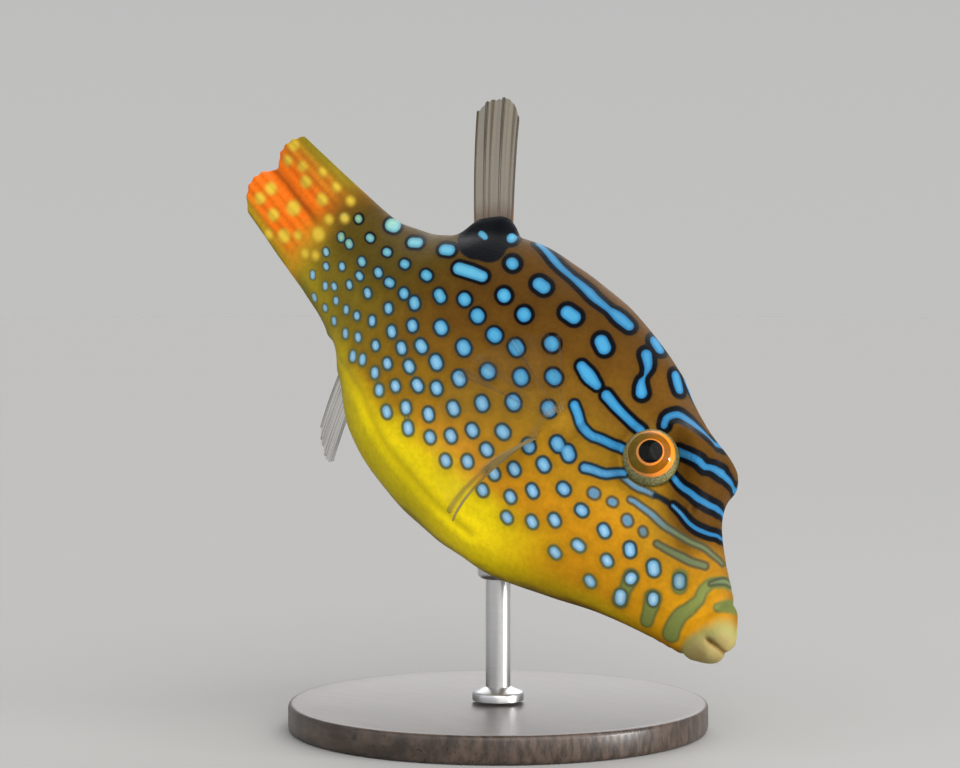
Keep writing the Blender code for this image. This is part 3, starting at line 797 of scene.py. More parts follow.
def mark_fields(net, rows, girth, seed):
    """Distances in millimetres from every point of the skin to each kind of marking."""
    names = ("marks", "faint", "bars", "patches", "fold", "yellow")
    fields = {name: np.full(net.shape[:2], NO_MARK) for name in names}
    groups = (("marks", LINES + PATCH_SPOTS), ("faint", FAINT_LINES), ("bars", BARS), ("patches", PATCHES))
    for side in (-1, 1):
        rng = np.random.default_rng(seed + side)
        for row in SPOT_ROWS:
            stamp_row(fields["marks"], net, rows, girth, side, row, rng)
        for name, lines in groups:
            for points, radii in lines:
                stamp_line(fields[name], net, rows, side, points, radii)
        stamp_line(fields["fold"], net, rows, side, FOLD, (0.0, 0.0, 0.0))
        for station, share, radius in TAIL_SPOTS:
            spot = on_skin(net, rows, side, np.array((station - 0.15, station + 0.15)), (share, share))
            stamp(fields["yellow"], net, rows, side, spot[0], spot[1], (radius, radius))
    return fields


def ring_width(rows, shares):
    """Width of the dark ring round a mark: broad on the back and brow, thin below, gone on the tail fin."""
    row = rows[:, None]
    girth = shares[None, :]
    upper = 1 - ease((girth - 0.12) / 0.26)
    width = (0.25 + 0.25 * upper) * (1 - 0.40 * ease((row - 50.0) / 18.0))
    width = width + 0.08 * bump(row - 14.5, 6.0) * (1 - ease((girth - 0.24) / 0.14))
    width = width * (0.75 + 0.25 * ease((row - 6.0) / 5.0))
    return width * (1 - ease((row - 70.0) / 3.0)) + 0.02


def net_mesh(name, net):
    """Mesh over a closed net, its first row a pole and its last closed edge to edge.

    Also gives the net's points that it uses, and each face's place in the net with the corners it keeps.
    """
    count = len(net)
    index = np.arange(count * RING).reshape(count, RING)
    index[0] = index[0, 0]
    for j in range(1, HALF_RING):
        index[-1, RING - j] = index[-1, j]
    points = place(net).reshape(-1, 3)
    a = index[:-1]
    b = index[1:]
    quads = np.stack((a, np.roll(a, -1, axis=1), np.roll(b, -1, axis=1), b), axis=-1).reshape(-1, 4)
    used, packed = np.unique(quads, return_inverse=True)
    packed = packed.reshape(-1, 4)
    faces = []
    corners = []
    for number, face in enumerate(packed):
        keep = [k for k in range(4) if face[k] != face[k - 1]]
        if len(keep) > 2:
            faces.append([int(face[k]) for k in keep])
            corners.append((number, keep))
    mesh = bpy.data.meshes.new(name)
    mesh.from_pydata(points[used].tolist(), [], faces)
    return mesh, used, corners


def lay_out_skin(mesh, corners, rows, girth):
    """Map the two flanks side by side, the left one below the right."""
    layer = mesh.uv_layers.new(name="OFBake")
    length = rows[-1] - rows[0]
    share = np.arange(HALF_RING + 1) / HALF_RING
    spread = (share[None, :] - 0.5) * girth[:, None] / length * UV_SPAN
    u = 0.5 * (1 - UV_SPAN) + UV_SPAN * (rows - rows[0]) / length
    uv = []
    for number, keep in corners:
        i, j = divmod(number, RING)
        for k in keep:
            row = i + (1 if k >= 2 else 0)
            column = j + (1 if k in (1, 2) else 0)
            if j < HALF_RING:
                uv.append((u[row], 0.25 - spread[row, column]))
            else:
                uv.append((u[row], 0.75 + spread[row, RING - column]))
    layer.data.foreach_set("uv", np.array(uv, dtype=np.float32).ravel())


def add_values(mesh, name, values):
    """Store a value at each point of a mesh."""
    layer = mesh.attributes.new(name, "FLOAT", "POINT")
    layer.data.foreach_set("value", np.ascontiguousarray(values, dtype=np.float32).ravel())


def finish_piece(piece, replaced):
    """Give a piece its body and hide the nodes it stands for."""
    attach(piece, "root")
    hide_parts(*replaced)


def choose(piece, wanted):
    """Enter edit mode with the vertices selected whose place passes a test."""
    bpy.ops.object.mode_set(mode="EDIT")
    bpy.ops.mesh.select_mode(type="VERT")
    bpy.ops.mesh.select_all(action="DESELECT")
    bpy.ops.object.mode_set(mode="OBJECT")
    for vertex in piece.data.vertices:
        vertex.select = wanted(vertex.co)
    bpy.ops.object.mode_set(mode="EDIT")


def link_mesh(name, mesh, smooth_angle):
    """Add a mesh as an object, its faces outward and its edges smooth up to an angle in degrees."""
    piece = bpy.data.objects.new(name, mesh)
    bpy.context.collection.objects.link(piece)
    bm = bmesh.new()
    bm.from_mesh(mesh)
    if bm.calc_volume(signed=True) < 0:
        bmesh.ops.reverse_faces(bm, faces=bm.faces)
        bm.to_mesh(mesh)
    bm.free()
    mesh.shade_smooth()
    mesh.set_sharp_from_angle(angle=math.radians(smooth_angle))
    return piece


# Materials

# Tones that no setting holds, and shades that darken or warm a tone by multiplying it
# The lower flank's own orange, made brighter as painted light where the flank faces the light
FLANK_LIT_ORANGE = (0.80, 0.345, 0.018)
BROW_BROWN = (0.072, 0.029, 0.001)
FIN_ROOT = (0.50, 0.26, 0.012)
BELLY_FRONT_SHADE = (1.22, 1.25, 1.0)
BELLY_REAR_SHADE = (0.70, 0.74, 0.7)
FLECK_SHADE = (0.50, 0.47, 0.42)
HALO_SHADE = (0.55, 0.56, 0.62)
# The slit between the lips: the mouth's brown together with painted shade in the crease
SLIT_BROWN_AND_SHADE = (0.16, 0.095, 0.025)
FAINT_EDGE = (0.045, 0.050, 0.028)
FAINT_OLIVE = (0.105, 0.135, 0.065)
FAINT_BLUE = (0.11, 0.24, 0.36)
SNOUT_RING = (0.060, 0.078, 0.036)
LOW_BLUE = (0.50, 0.76, 0.94)
BROW_BLUE = (0.036, 0.205, 0.38)
CREST_BLUE = (0.036, 0.18, 0.33)
SPOT_EDGE_SHADE = (0.46, 0.62, 0.74)
TAIL_SPOT_EDGE = (0.40, 0.26, 0.02)
TAIL_SPOT = (0.66, 0.45, 0.04)
STRIP_PALE = (0.20, 0.145, 0.035)
STRIP_DARK = (0.09, 0.055, 0.018)
# Each fin's opacity in the web and on the rays, and at its root a tone and the share that is denser
FIN_LOOKS = {
    "dorsal": {"web_alpha": 0.42, "ray_alpha": 0.90, "base_tone": (0.10, 0.05, 0.02), "root_share": 0.30},
    "anal": {"web_alpha": 0.16, "ray_alpha": 0.48, "base_tone": (0.20, 0.15, 0.02), "root_share": 0.30},
    "pectoral": {"web_alpha": 0.03, "ray_alpha": 0.20, "base_tone": (0.30, 0.17, 0.025), "root_share": 0.14},
}
# The eye's tones, and its rings outward from the pupil: each one's centre and the radii where it starts
# Towards the rear the iris takes its own olive, a little darker as painted shade, and the orange rings darken
# as painted shade on the side away from the light
IRIS_REAR_SHADED = (0.17, 0.105, 0.008)
IRIS_SHADE = (0.45, 0.45, 0.5)
# Painted shade: the darker rear of the orange rings
RING_REAR_SHADED = (0.50, 0.20, 0.05)
WHITE_DARK = (0.10, 0.10, 0.032)
WHITE_PALE = (0.25, 0.235, 0.12)
PUPIL_BLACK = (0.001, 0.001, 0.001)
PUPIL_SPECK = (0.014, 0.018, 0.006)
EYE_RINGS = (
    ((-0.05, 0.12), (1.16, 1.24)),
    ((-0.10, 0.07), (1.32, 1.42)),
    ((-0.22, 0.13), (2.09, 2.20)),
    ((-0.03, 0.10), (2.32, 2.44)),
)


def tinted(colour, factor):
    """A colour made darker or paler by a factor."""
    return tuple(min(1.0, c * factor) for c in colour)


class Shading:
    """A material under construction: short calls that add a node and return its useful socket."""

    def __init__(self, name):
        self.material = bpy.data.materials.new(name)
        self.material.use_nodes = True
        self.nodes = self.material.node_tree.nodes
        self.surface = self.nodes["Principled BSDF"]

    def feed(self, socket, value):
        """Join a socket to another, or set it to a number or a colour."""
        if isinstance(value, bpy.types.NodeSocket):
            self.material.node_tree.links.new(value, socket)
        elif hasattr(value, "__len__"):
            socket.default_value = (*value, 1.0)[: len(socket.default_value)]
        else:
            socket.default_value = value

    def to_surface(self, **values):
        """Set or join the surface shader's own sockets, named with underscores for spaces."""
        for name, value in values.items():
            self.feed(self.surface.inputs[name.replace("_", " ")], value)

    def node(self, kind, settings, inputs, output):
        """Add a node, set it, feed its inputs and return one of its outputs."""
        node = self.nodes.new("ShaderNode" + kind)
        for name, value in settings.items():
            setattr(node, name, value)
        for name, value in inputs.items():
            self.feed(node.inputs[name], value)
        return node.outputs[output]

    def attribute(self, name):
        return self.node("Attribute", {"attribute_name": name}, {}, "Fac")

    def here(self):
        return self.node("TexCoord", {}, {}, "Object")

    def mapped(self, kind, **settings):
        """Object coordinates through a mapping of the given kind."""
        return self.node("Mapping", {"vector_type": kind}, {"Vector": self.here(), **settings}, "Vector")

    def noise(self, scale, detail=3.0, rough=0.5, vector=None):
        inputs = {"Scale": scale, "Detail": detail, "Roughness": rough, "Vector": vector or self.here()}
        return self.node("TexNoise", {}, inputs, "Fac")

    def cells(self, scale):
        return self.node("TexVoronoi", {}, {"Scale": scale, "Vector": self.here()}, "Distance")

    def calc(self, operation, a, b=0.0):
        return self.node("Math", {"operation": operation}, {0: a, 1: b}, 0)

    def times(self, value, *factors):
        for factor in factors:
            value = self.calc("MULTIPLY", value, factor)
        return value

    def plus(self, a, b):
        return self.calc("ADD", a, b)

    def minus(self, a, b):
        return self.calc("SUBTRACT", a, b)

    def step(self, value, low, high):
        """0 below low, 1 above high, eased between; low may be the greater, to turn the step round."""
        ends = {"From Min": min(low, high), "From Max": max(low, high)}
        ends.update({"To Min": float(low > high), "To Max": float(low < high)})
        return self.node("MapRange", {"interpolation_type": "SMOOTHSTEP"}, {"Value": value, **ends}, 0)

    def spread(self, value, low, high):
        """Bring a 0 to 1 value into a range."""
        return self.node("MapRange", {}, {"Value": value, "To Min": low, "To Max": high}, 0)

    def mix(self, factor, a, b, blend="MIX"):
        return self.node("Mix", {"data_type": "RGBA", "blend_type": blend}, {0: factor, 6: a, 7: b}, 2)

    def shaded(self, tone, shade):
        return self.mix(1.0, tone, shade, "MULTIPLY")

    def ramp(self, value, stops):
        """Tones at places from 0 to 1, eased between."""
        tones = self.node("ValToRGB", {}, {"Fac": value}, "Color")
        bar = tones.node.color_ramp
        bar.interpolation = "EASE"
        bar.elements.remove(bar.elements[0])
        bar.elements[0].position = stops[0][0]
        bar.elements[0].color = (*stops[0][1], 1.0)
        for position, colour in stops[1:]:
            bar.elements.new(position).color = (*colour, 1.0)
        return tones

    def relief(self, height, distance, strength):
        """Bump the surface by a height, distance metres deep."""
        bumped = {"Height": height, "Distance": distance, "Strength": strength}
        self.to_surface(Normal=self.node("Bump", {}, bumped, "Normal"))


class SkinShading(Shading):
    """The skin's material and what its layers share: the station in millimetres, the share of the girth."""

    def __init__(self, colours):
        super().__init__("puffer skin")
        self.colours = colours
        self.station = self.attribute("station")
        self.girth = self.attribute("girth")
        self.marks = self.attribute("marks")
        self.broad = self.noise(260.0, 3.0)
        self.fine = self.noise(1700.0, 4.0, 0.62)
        self.shift = self.times(self.minus(self.broad, 0.5), 0.09)
        self.level = self.plus(self.girth, self.shift)


def upper_tones(s):
    """Back to lower flank, browner towards the tail; the last, dark tone is painted shade on the underside of
    the head.
    """
    c = s.colours
    level = s.minus(s.level, s.times(s.step(s.station, 18.0, 50.0), 0.27))
    # The dark tone at 1.0 is painted shade under the chin and throat
    return s.ramp(level, (
        (0.0, tinted(c.back, 0.72)), (0.14, c.back), (0.27, tinted(c.flank, 0.95)),
        (0.38, (0.29, 0.150, 0.008)), (0.50, (0.44, 0.215, 0.008)), (0.60, c.cheek), (0.80, c.cheek),
        (0.92, (0.52, 0.34, 0.008)), (1.0, (0.17, 0.09, 0.004)),
    ))


def belly_tones(s):
    """Yellow of the belly, duller behind the throat, with a band of painted light on the lower belly and
    painted shade darkening it to the keel.
    """
    belly = s.colours.belly
    # The tone at 0.84 is brightened as painted light; those at 0.97 and 1.0 darken the keel as painted shade
    # on the underside
    tone = s.ramp(s.level, (
        (0.0, tinted(belly, 0.9)), (0.74, tinted(belly, 0.95)), (0.84, tinted(belly, 1.2)),
        (0.92, tinted(belly, 0.95)), (0.97, tinted(belly, 0.5)), (1.0, tinted(s.colours.olive, 0.8)),
    ))
    rear = s.times(s.step(s.station, 28.0, 36.0), s.step(s.level, 0.74, 0.85))
    return s.shaded(tone, s.mix(rear, BELLY_FRONT_SHADE, BELLY_REAR_SHADE))


def snout_tones(s):
    # Orange of the snout, dark towards its underside: the tones at 0.93 and 1.0 are painted shade under the
    # snout
    return s.ramp(s.level, (
        (0.0, tinted(s.colours.flank, 1.15)), (0.24, (0.40, 0.185, 0.004)),
        (0.55, (0.57, 0.26, 0.005)), (0.82, (0.54, 0.255, 0.004)), (0.93, (0.34, 0.15, 0.004)),
        (1.0, (0.11, 0.045, 0.002)),
    ))


def stalk_tones(s):
    olive = s.colours.olive
    return s.ramp(s.level, (
        (0.0, (0.074, 0.042, 0.003)), (0.40, (0.090, 0.060, 0.004)), (0.66, (0.20, 0.140, 0.009)),
        (0.82, (0.34, 0.25, 0.008)), (0.93, olive), (1.0, tinted(olive, 0.7)),
    ))


def tail_fin_tones(s):
    """Orange web between olive edges, darker along its middle fold."""
    tail = s.colours.tail
    olive = s.colours.olive
    return s.ramp(s.plus(s.girth, s.times(s.shift, 0.5)), (
        (0.0, olive), (0.07, (0.30, 0.20, 0.012)), (0.20, (0.60, 0.19, 0.012)), (0.38, tail),
        (0.485, tinted(tail, 0.55)), (0.53, tail), (0.82, tinted(tail, 0.92)),
        (0.94, (0.40, 0.24, 0.012)), (1.0, olive),
    ))


def ground(s):
    """The unmarked skin from the snout to the tail fin, with its flecks and the belly's fold."""
    station = s.station
    level = s.level
    tone = s.mix(s.step(station, 4.0, 12.0), snout_tones(s), upper_tones(s))
    # Painted light: a brighter band on the lower flank, laid over the flank's own orange
    lit_band = s.times(s.step(level, 0.58, 0.70), s.step(station, 22.0, 30.0))
    lit_band = s.times(lit_band, s.step(station, 43.0, 36.0), 0.75)
    tone = s.mix(lit_band, tone, FLANK_LIT_ORANGE)
    sunk = s.minus(level, s.times(s.step(station, 36.0, 54.0), 0.06))
    belly_share = s.times(s.step(sunk, 0.655, 0.765), s.step(station, 16.0, 27.0))
    tone = s.mix(belly_share, tone, belly_tones(s))
    tone = s.mix(s.step(station, 44.0, 60.0), tone, stalk_tones(s))
    brow = s.times(s.step(station, 19.0, 15.5), s.step(s.girth, 0.42, 0.26))
    brow = s.times(brow, s.step(station, 7.0, 10.0), 0.85)
    tone = s.mix(brow, tone, BROW_BROWN)
    root = s.mix(s.step(level, 0.30, 0.60), tinted(s.colours.flank, 0.85), FIN_ROOT)
    tone = s.mix(s.step(station, 69.0, 74.0), tone, root)
    tone = s.mix(s.step(station, 72.0, 79.0), tone, tail_fin_tones(s))
    flecks = s.shaded(tone, FLECK_SHADE)
    tone = s.mix(s.spread(s.step(s.fine, 0.36, 0.66), 0.0, 0.24), tone, flecks)
    fold = s.mix(s.step(s.attribute("fold"), 0.55, 0.05), tone, tinted(s.colours.belly, 0.85))
    return s.mix(0.55, tone, fold)


def halos(s, skin):
    """Darken the skin a little round the marks."""
    halo = s.times(s.step(s.marks, 1.25, 0.15), s.step(s.station, 70.0, 60.0), 0.45)
    return s.mix(halo, skin, s.shaded(skin, HALO_SHADE))


def snout_bars(s, skin):
    """Olive bars across the snout, darker at their edges and on the back."""
    bar = s.colours.bar
    bars = s.plus(s.attribute("bars"), s.times(s.shift, 1.2))
    green = s.mix(s.step(bars, -0.02, -0.30), tinted(bar, 0.55), bar)
    green = s.mix(s.step(s.girth, 0.32, 0.12), green, tinted(bar, 0.60))
    return s.mix(s.step(bars, 0.26, -0.16), skin, green)


def lips(s, skin):
    """Cream lips with an uneven edge, and the slit between them painted in the mouth's brown, which also
    stands for the shade in the crease.
    """
    lip = s.colours.lip
    edge = s.plus(s.station, s.times(s.minus(s.broad, 0.5), 1.6))
    edge = s.minus(edge, s.times(s.girth, 2.2))
    cream = s.mix(s.spread(s.fine, 0.0, 0.6), lip, tinted(lip, 0.66))
    skin = s.mix(s.step(edge, 1.5, 0.4), skin, s.mix(0.5, lip, tinted(s.colours.bar, 1.2)))
    skin = s.mix(s.step(edge, 0.8, -0.4), skin, cream)
    # Painted shade in the slit between the lips, in the mouth's brown
    return s.mix(s.attribute("mouth"), skin, SLIT_BROWN_AND_SHADE)


def faint_lines(s, skin):
    """Dull lines under the eye, blue on the cheek and olive on the snout."""
    faint = s.attribute("faint")
    dull = s.mix(s.step(s.station, 10.0, 15.5), FAINT_OLIVE, FAINT_BLUE)
    skin = s.mix(s.times(s.step(faint, 0.38, 0.14), 0.85), skin, FAINT_EDGE)
    return s.mix(s.step(faint, 0.08, -0.12), skin, dull)


def rings(s, skin):
    """Dark rings and patches, black on the back and paler down the flank and on the snout."""
    ink = s.colours.ink
    dark = s.ramp(s.girth, (
        (0.0, ink), (0.30, ink), (0.46, (0.014, 0.030, 0.036)), (0.60, (0.040, 0.062, 0.048)),
        (0.75, (0.12, 0.13, 0.045)), (1.0, (0.2, 0.18, 0.04)),
    ))
    thin = s.times(s.step(s.station, 13.0, 8.0), s.step(s.girth, 0.30, 0.42), 0.85)
    dark = s.mix(thin, dark, SNOUT_RING)
    ring = s.step(s.minus(s.marks, s.attribute("ring")), 0.12, -0.09)
    inked = s.calc("MAXIMUM", ring, s.step(s.attribute("patches"), 0.22, -0.10))
    return s.mix(s.times(inked, s.step(s.station, 74.0, 69.0)), skin, dark)


def blue_marks(s, skin):
    """Blue of the spots and lines, greener on the snout and stalk, paler low down, deeper on the brow."""
    blue = s.colours.spot
    station = s.station
    fill = s.ramp(s.calc("DIVIDE", station, FULL_LENGTH), (
        (0.0, (0.20, 0.27, 0.20)), (0.085, (0.20, 0.30, 0.32)), (0.125, (0.16, 0.42, 0.62)),
        (0.16, blue), (0.42, (0.066, 0.32, 0.53)), (0.58, (0.12, 0.42, 0.58)),
        (0.70, (0.23, 0.52, 0.52)), (0.765, (0.33, 0.54, 0.30)), (0.82, (0.46, 0.48, 0.12)),
    ))
    fill = s.mix(s.step(s.girth, 0.34, 0.74), fill, s.mix(0.85, fill, LOW_BLUE))
    fill = s.mix(s.spread(s.fine, 0.0, 0.25), fill, tinted(blue, 0.75))
    brow = s.times(s.step(s.girth, 0.34, 0.22), s.step(station, 23.0, 17.0))
    fill = s.mix(brow, fill, BROW_BLUE)
    crest = s.times(s.step(s.girth, 0.24, 0.10), s.step(station, 54.0, 46.0), 0.8)
    fill = s.mix(crest, fill, CREST_BLUE)
    fill = s.mix(s.step(s.marks, -0.06, -0.45), s.shaded(fill, SPOT_EDGE_SHADE), fill)
    return s.mix(s.step(s.marks, 0.06, -0.09), skin, fill)


def tail_spots(s, skin):
    """Soft yellow spots on the tail fin."""
    yellow = s.attribute("yellow")
    skin = s.mix(s.times(s.step(yellow, 0.42, 0.0), 0.35), skin, TAIL_SPOT_EDGE)
    return s.mix(s.step(yellow, 0.26, -0.44), skin, TAIL_SPOT)


def skin_material(colours):
    """Brown-orange skin with ringed blue marks, cream lips and an orange, yellow-spotted tail fin."""
    s = SkinShading(colours)
    skin = ground(s)
    for layer in (halos, snout_bars, lips, faint_lines, rings, blue_marks, tail_spots):
        skin = layer(s, skin)
    prickles = s.cells(2600.0)
    s.relief(s.plus(s.times(prickles, 0.8), s.times(s.fine, 0.7)), 0.00005, 0.45)
    s.to_surface(Base_Color=skin, Roughness=s.spread(s.fine, 0.44, 0.60), Specular_IOR_Level=0.045)
    s.to_surface(Subsurface_Weight=0.05, Subsurface_Radius=(1.0, 0.5, 0.25), Subsurface_Scale=0.0006)
    return s.material


def fin_material(name, colours, web_alpha, ray_alpha, base_tone, root_share):
    """Clear web with brown rays, denser and darker at its root; a fold of the web shows as a brown strip."""
    s = Shading(name)
    along = s.attribute("along")
    fold = s.attribute("strip")
    grain = s.noise(1400.0, 3.0)
    strong = s.step(s.attribute("ray"), 0.25, 0.85)
    web = s.mix(s.spread(grain, 0.0, 0.5), colours.web, tinted(colours.web, 0.6))
    tone = s.mix(strong, web, colours.ray)
    tone = s.mix(s.step(along, 0.42, 0.0), tone, base_tone)
    tone = s.mix(fold, tone, s.mix(s.spread(grain, 0.0, 0.7), STRIP_PALE, STRIP_DARK))
    root = s.times(s.step(along, root_share, 0.0), 0.45)
    root = s.calc("MAXIMUM", root, s.times(fold, 0.85))
    clear = s.plus(s.times(strong, ray_alpha - web_alpha), web_alpha)
    solid = s.calc("MINIMUM", s.plus(clear, root), 1.0)
    s.relief(grain, 0.00003, 0.3)
    s.to_surface(Base_Color=tone, Alpha=solid, Roughness=0.34, Specular_IOR_Level=0.4)
    return s.material


def eye_material(colours, centre, turn, ahead):
    """Wet eye: black pupil, thin orange ring, brown iris, uneven orange ring and speckled olive white;
    towards the rear the rings darken as painted shade and the iris turns olive.
    """
    s = Shading("puffer eye")
    where = s.mapped("TEXTURE", Location=centre, Rotation=turn)
    right = s.times(s.node("SeparateXYZ", {}, {0: where}, "X"), 1000.0 * ahead)
    up = s.times(s.node("SeparateXYZ", {}, {0: where}, "Y"), 1000.0)
    waver = s.times(s.minus(s.noise(700.0, 2.0), 0.5), 0.10)
    speck = s.noise(5200.0, 3.0, 0.7)
    streak = s.noise(1500.0, 4.0, 0.6)
    # The front half is the lit side; the rear half of the iris and of the rings is darker as painted shade
    lit = s.mix(s.step(right, 0.9, -1.6), colours.iris, IRIS_REAR_SHADED)
    iris = s.mix(s.spread(streak, 0.0, 0.8), s.shaded(lit, IRIS_SHADE), lit)
    bright = s.mix(s.spread(streak, 0.0, 0.5), colours.iris_ring, tinted(colours.iris_ring, 0.6))
    bright = s.mix(s.step(right, 1.4, -1.4), bright, RING_REAR_SHADED)
    white = s.mix(s.step(speck, 0.36, 0.66), WHITE_DARK, WHITE_PALE)
    tone = s.mix(s.step(speck, 0.60, 0.68), PUPIL_BLACK, PUPIL_SPECK)
    for (middle, radii), colour in zip(EYE_RINGS, (bright, iris, bright, white)):
        across = s.minus(right, middle[0])
        over = s.minus(up, middle[1])
        away = s.calc("SQRT", s.plus(s.times(across, across), s.times(over, over)))
        tone = s.mix(s.step(s.plus(away, waver), *radii), tone, colour)
    s.to_surface(Base_Color=tone, Roughness=0.40, Specular_IOR_Level=0.02)
    s.to_surface(Coat_Weight=0.32, Coat_Roughness=0.05, Coat_IOR=1.36)
    s.relief(streak, 0.00004, 0.25)
    return s.material


def wood_material(stand):
    """Dark stained wood with a fine grain under satin lacquer."""
    s = Shading("dark stained wood")
    where = s.mapped("POINT", Scale=(1.0, 9.0, 3.0))
    grain = s.noise(160.0, 6.0, 0.62, where)
    pores = s.noise(900.0, 2.0, 0.5, where)
    tone = s.mix(s.step(grain, 0.35, 0.68), tinted(stand.wood, 0.55), tinted(stand.wood, 1.7))
    tone = s.mix(s.step(pores, 0.62, 0.70), tone, tinted(stand.wood, 0.3))
    s.relief(s.minus(grain, s.times(pores, 0.5)), 0.00005, 0.35)
    s.to_surface(Base_Color=tone, Roughness=s.spread(grain, 0.30, 0.42), Specular_IOR_Level=0.5)
    return s.material


def steel_material(stand):
    """Brushed steel, its scratches running round the rod."""
    s = Shading("brushed steel")
    lines = s.noise(900.0, 4.0, 0.6, s.mapped("POINT", Scale=(0.6, 0.6, 14.0)))
    tone = s.mix(s.spread(lines, 0.0, 0.8), stand.steel, tinted(stand.steel, 0.72))
    s.relief(lines, 0.00002, 0.4)
    s.to_surface(Base_Color=tone, Metallic=1.0, Roughness=s.spread(lines, 0.24, 0.40))
    return s.material


def floor_material(studio):
    """Plain pale floor with a barely uneven tone."""
    s = Shading("pale floor")
    tone = s.mix(s.spread(s.noise(6.0, 2.0), 0.0, 0.25), studio.floor, tinted(studio.floor, 0.94))
    s.to_surface(Base_Color=tone, Roughness=0.8, Specular_IOR_Level=0.0)
    return s.material


# Fins


def blade_mesh(name, middle, thickness, ridge, strip):
    """Closed plate about a net of straight middle points, with ray, length and strip values."""
    along = np.gradient(middle, axis=0)
    across = np.gradient(middle, axis=1)
    normal = np.cross(along, across)
    normal /= np.maximum(np.linalg.norm(normal, axis=2, keepdims=True), 1e-12)
    offset = normal * thickness[..., None] / 2
    rows, columns = thickness.shape
    rim = [(0, j) for j in range(columns)]
    rim += [(i, columns - 1) for i in range(1, rows)]
    rim += [(rows - 1, j) for j in range(columns - 2, -1, -1)]
    rim += [(i, 0) for i in range(rows - 2, 0, -1)]
    front = np.arange(rows * columns).reshape(rows, columns)
    back = front + rows * columns
    faces = []
    for i in range(rows - 1):
        for j in range(columns - 1):
            faces.append((front[i, j], front[i, j + 1], front[i + 1, j + 1], front[i + 1, j]))
            faces.append((back[i, j], back[i + 1, j], back[i + 1, j + 1], back[i, j + 1]))
    for (i, j), (k, m) in zip(rim, rim[1:] + rim[:1]):
        faces.append((front[i, j], back[i, j], back[k, m], front[k, m]))
    points = np.concatenate(((middle + offset).reshape(-1, 3), (middle - offset).reshape(-1, 3)))
    mesh = bpy.data.meshes.new(name)
    mesh.from_pydata(place(points).tolist(), [], [tuple(int(v) for v in f) for f in faces])
    bm = bmesh.new()
    bm.from_mesh(mesh)
    bmesh.ops.recalc_face_normals(bm, faces=bm.faces)
    bm.to_mesh(mesh)
    bm.free()
    lengthwise = np.repeat(np.linspace(0.0, 1.0, rows)[:, None], columns, axis=1)
    for value_name, values in (("ray", ridge), ("along", lengthwise), ("strip", strip)):
        add_values(mesh, value_name, np.tile(values.ravel(), 2))
    return mesh


def ray_ridges(rays, columns, rows):
    """Ridge height (0 in the web, 1 on a ray) over a fin's net, the rays forking towards the edge."""
    across = np.linspace(0.0, 1.0, columns)[None, :]
    out = np.linspace(0.0, 1.0, rows)[:, None]
    phase = across * (rays - 1)
    number = np.round(phase)
    fork = 0.13 * ease((out - 0.45) / 0.5)
    strength = 0.66 + 0.34 * np.sin(2.3 * number + 1.0)
    return strength * bump(np.abs(phase - number) - fork, 0.17 + 0.05 * np.sin(1.7 * number))


def fin_thickness(ridge, fade, sizes):
    """Thickness over a fin's net: the web's between the rays, the rays' on their ridges, fading outwards."""
    return sizes.web_thickness / MM + (sizes.ray_thickness - sizes.web_thickness) / MM * ridge * fade


def midline_fin(name, sizes, root, edge, length, sweep, splay, lean, bow):
    """Narrow paddle on the back or belly midline, rooted in the skin."""
    rows = 60
    columns = 12 * (MIDLINE_RAYS - 1) + 1
    upward = 1 if edge is BACK else -1
    lean = math.radians(lean)
    across = np.linspace(0.0, 1.0, columns)[None, :, None]
    turn = np.radians(sweep + splay * (0.5 - across))
    ray = np.concatenate(
        (np.cos(turn), np.sin(turn) * math.sin(lean), upward * np.sin(turn) * math.cos(lean)), axis=2
    )
    out = np.linspace(0.0, 1.0, rows)[:, None, None]
    station = root[0] + across * (root[1] - root[0])
    height = through(edge, station) - upward * ROOT_SUNK
    ridge = ray_ridges(MIDLINE_RAYS, columns, rows)
    round_off = 1 - (0.17 - 0.10 * across) * np.abs(2 * across - 1) ** 3 + 0.012 * ridge[-1][None, :, None]
    spread = np.concatenate((station, np.zeros_like(station), height), axis=2)
    middle = spread + ray * out * length * round_off
    middle[..., 1] += (bow * out * out)[..., 0]
    middle[..., 1] += (0.10 * np.sin(across * MIDLINE_RAYS * 1.7) * out)[..., 0]
    thickness = fin_thickness(ridge, (1 - 0.45 * out)[..., 0], sizes)
    mesh = blade_mesh(name, middle, thickness, ridge, np.zeros_like(ridge))
    return link_mesh(name, mesh, FIN_SMOOTHING)


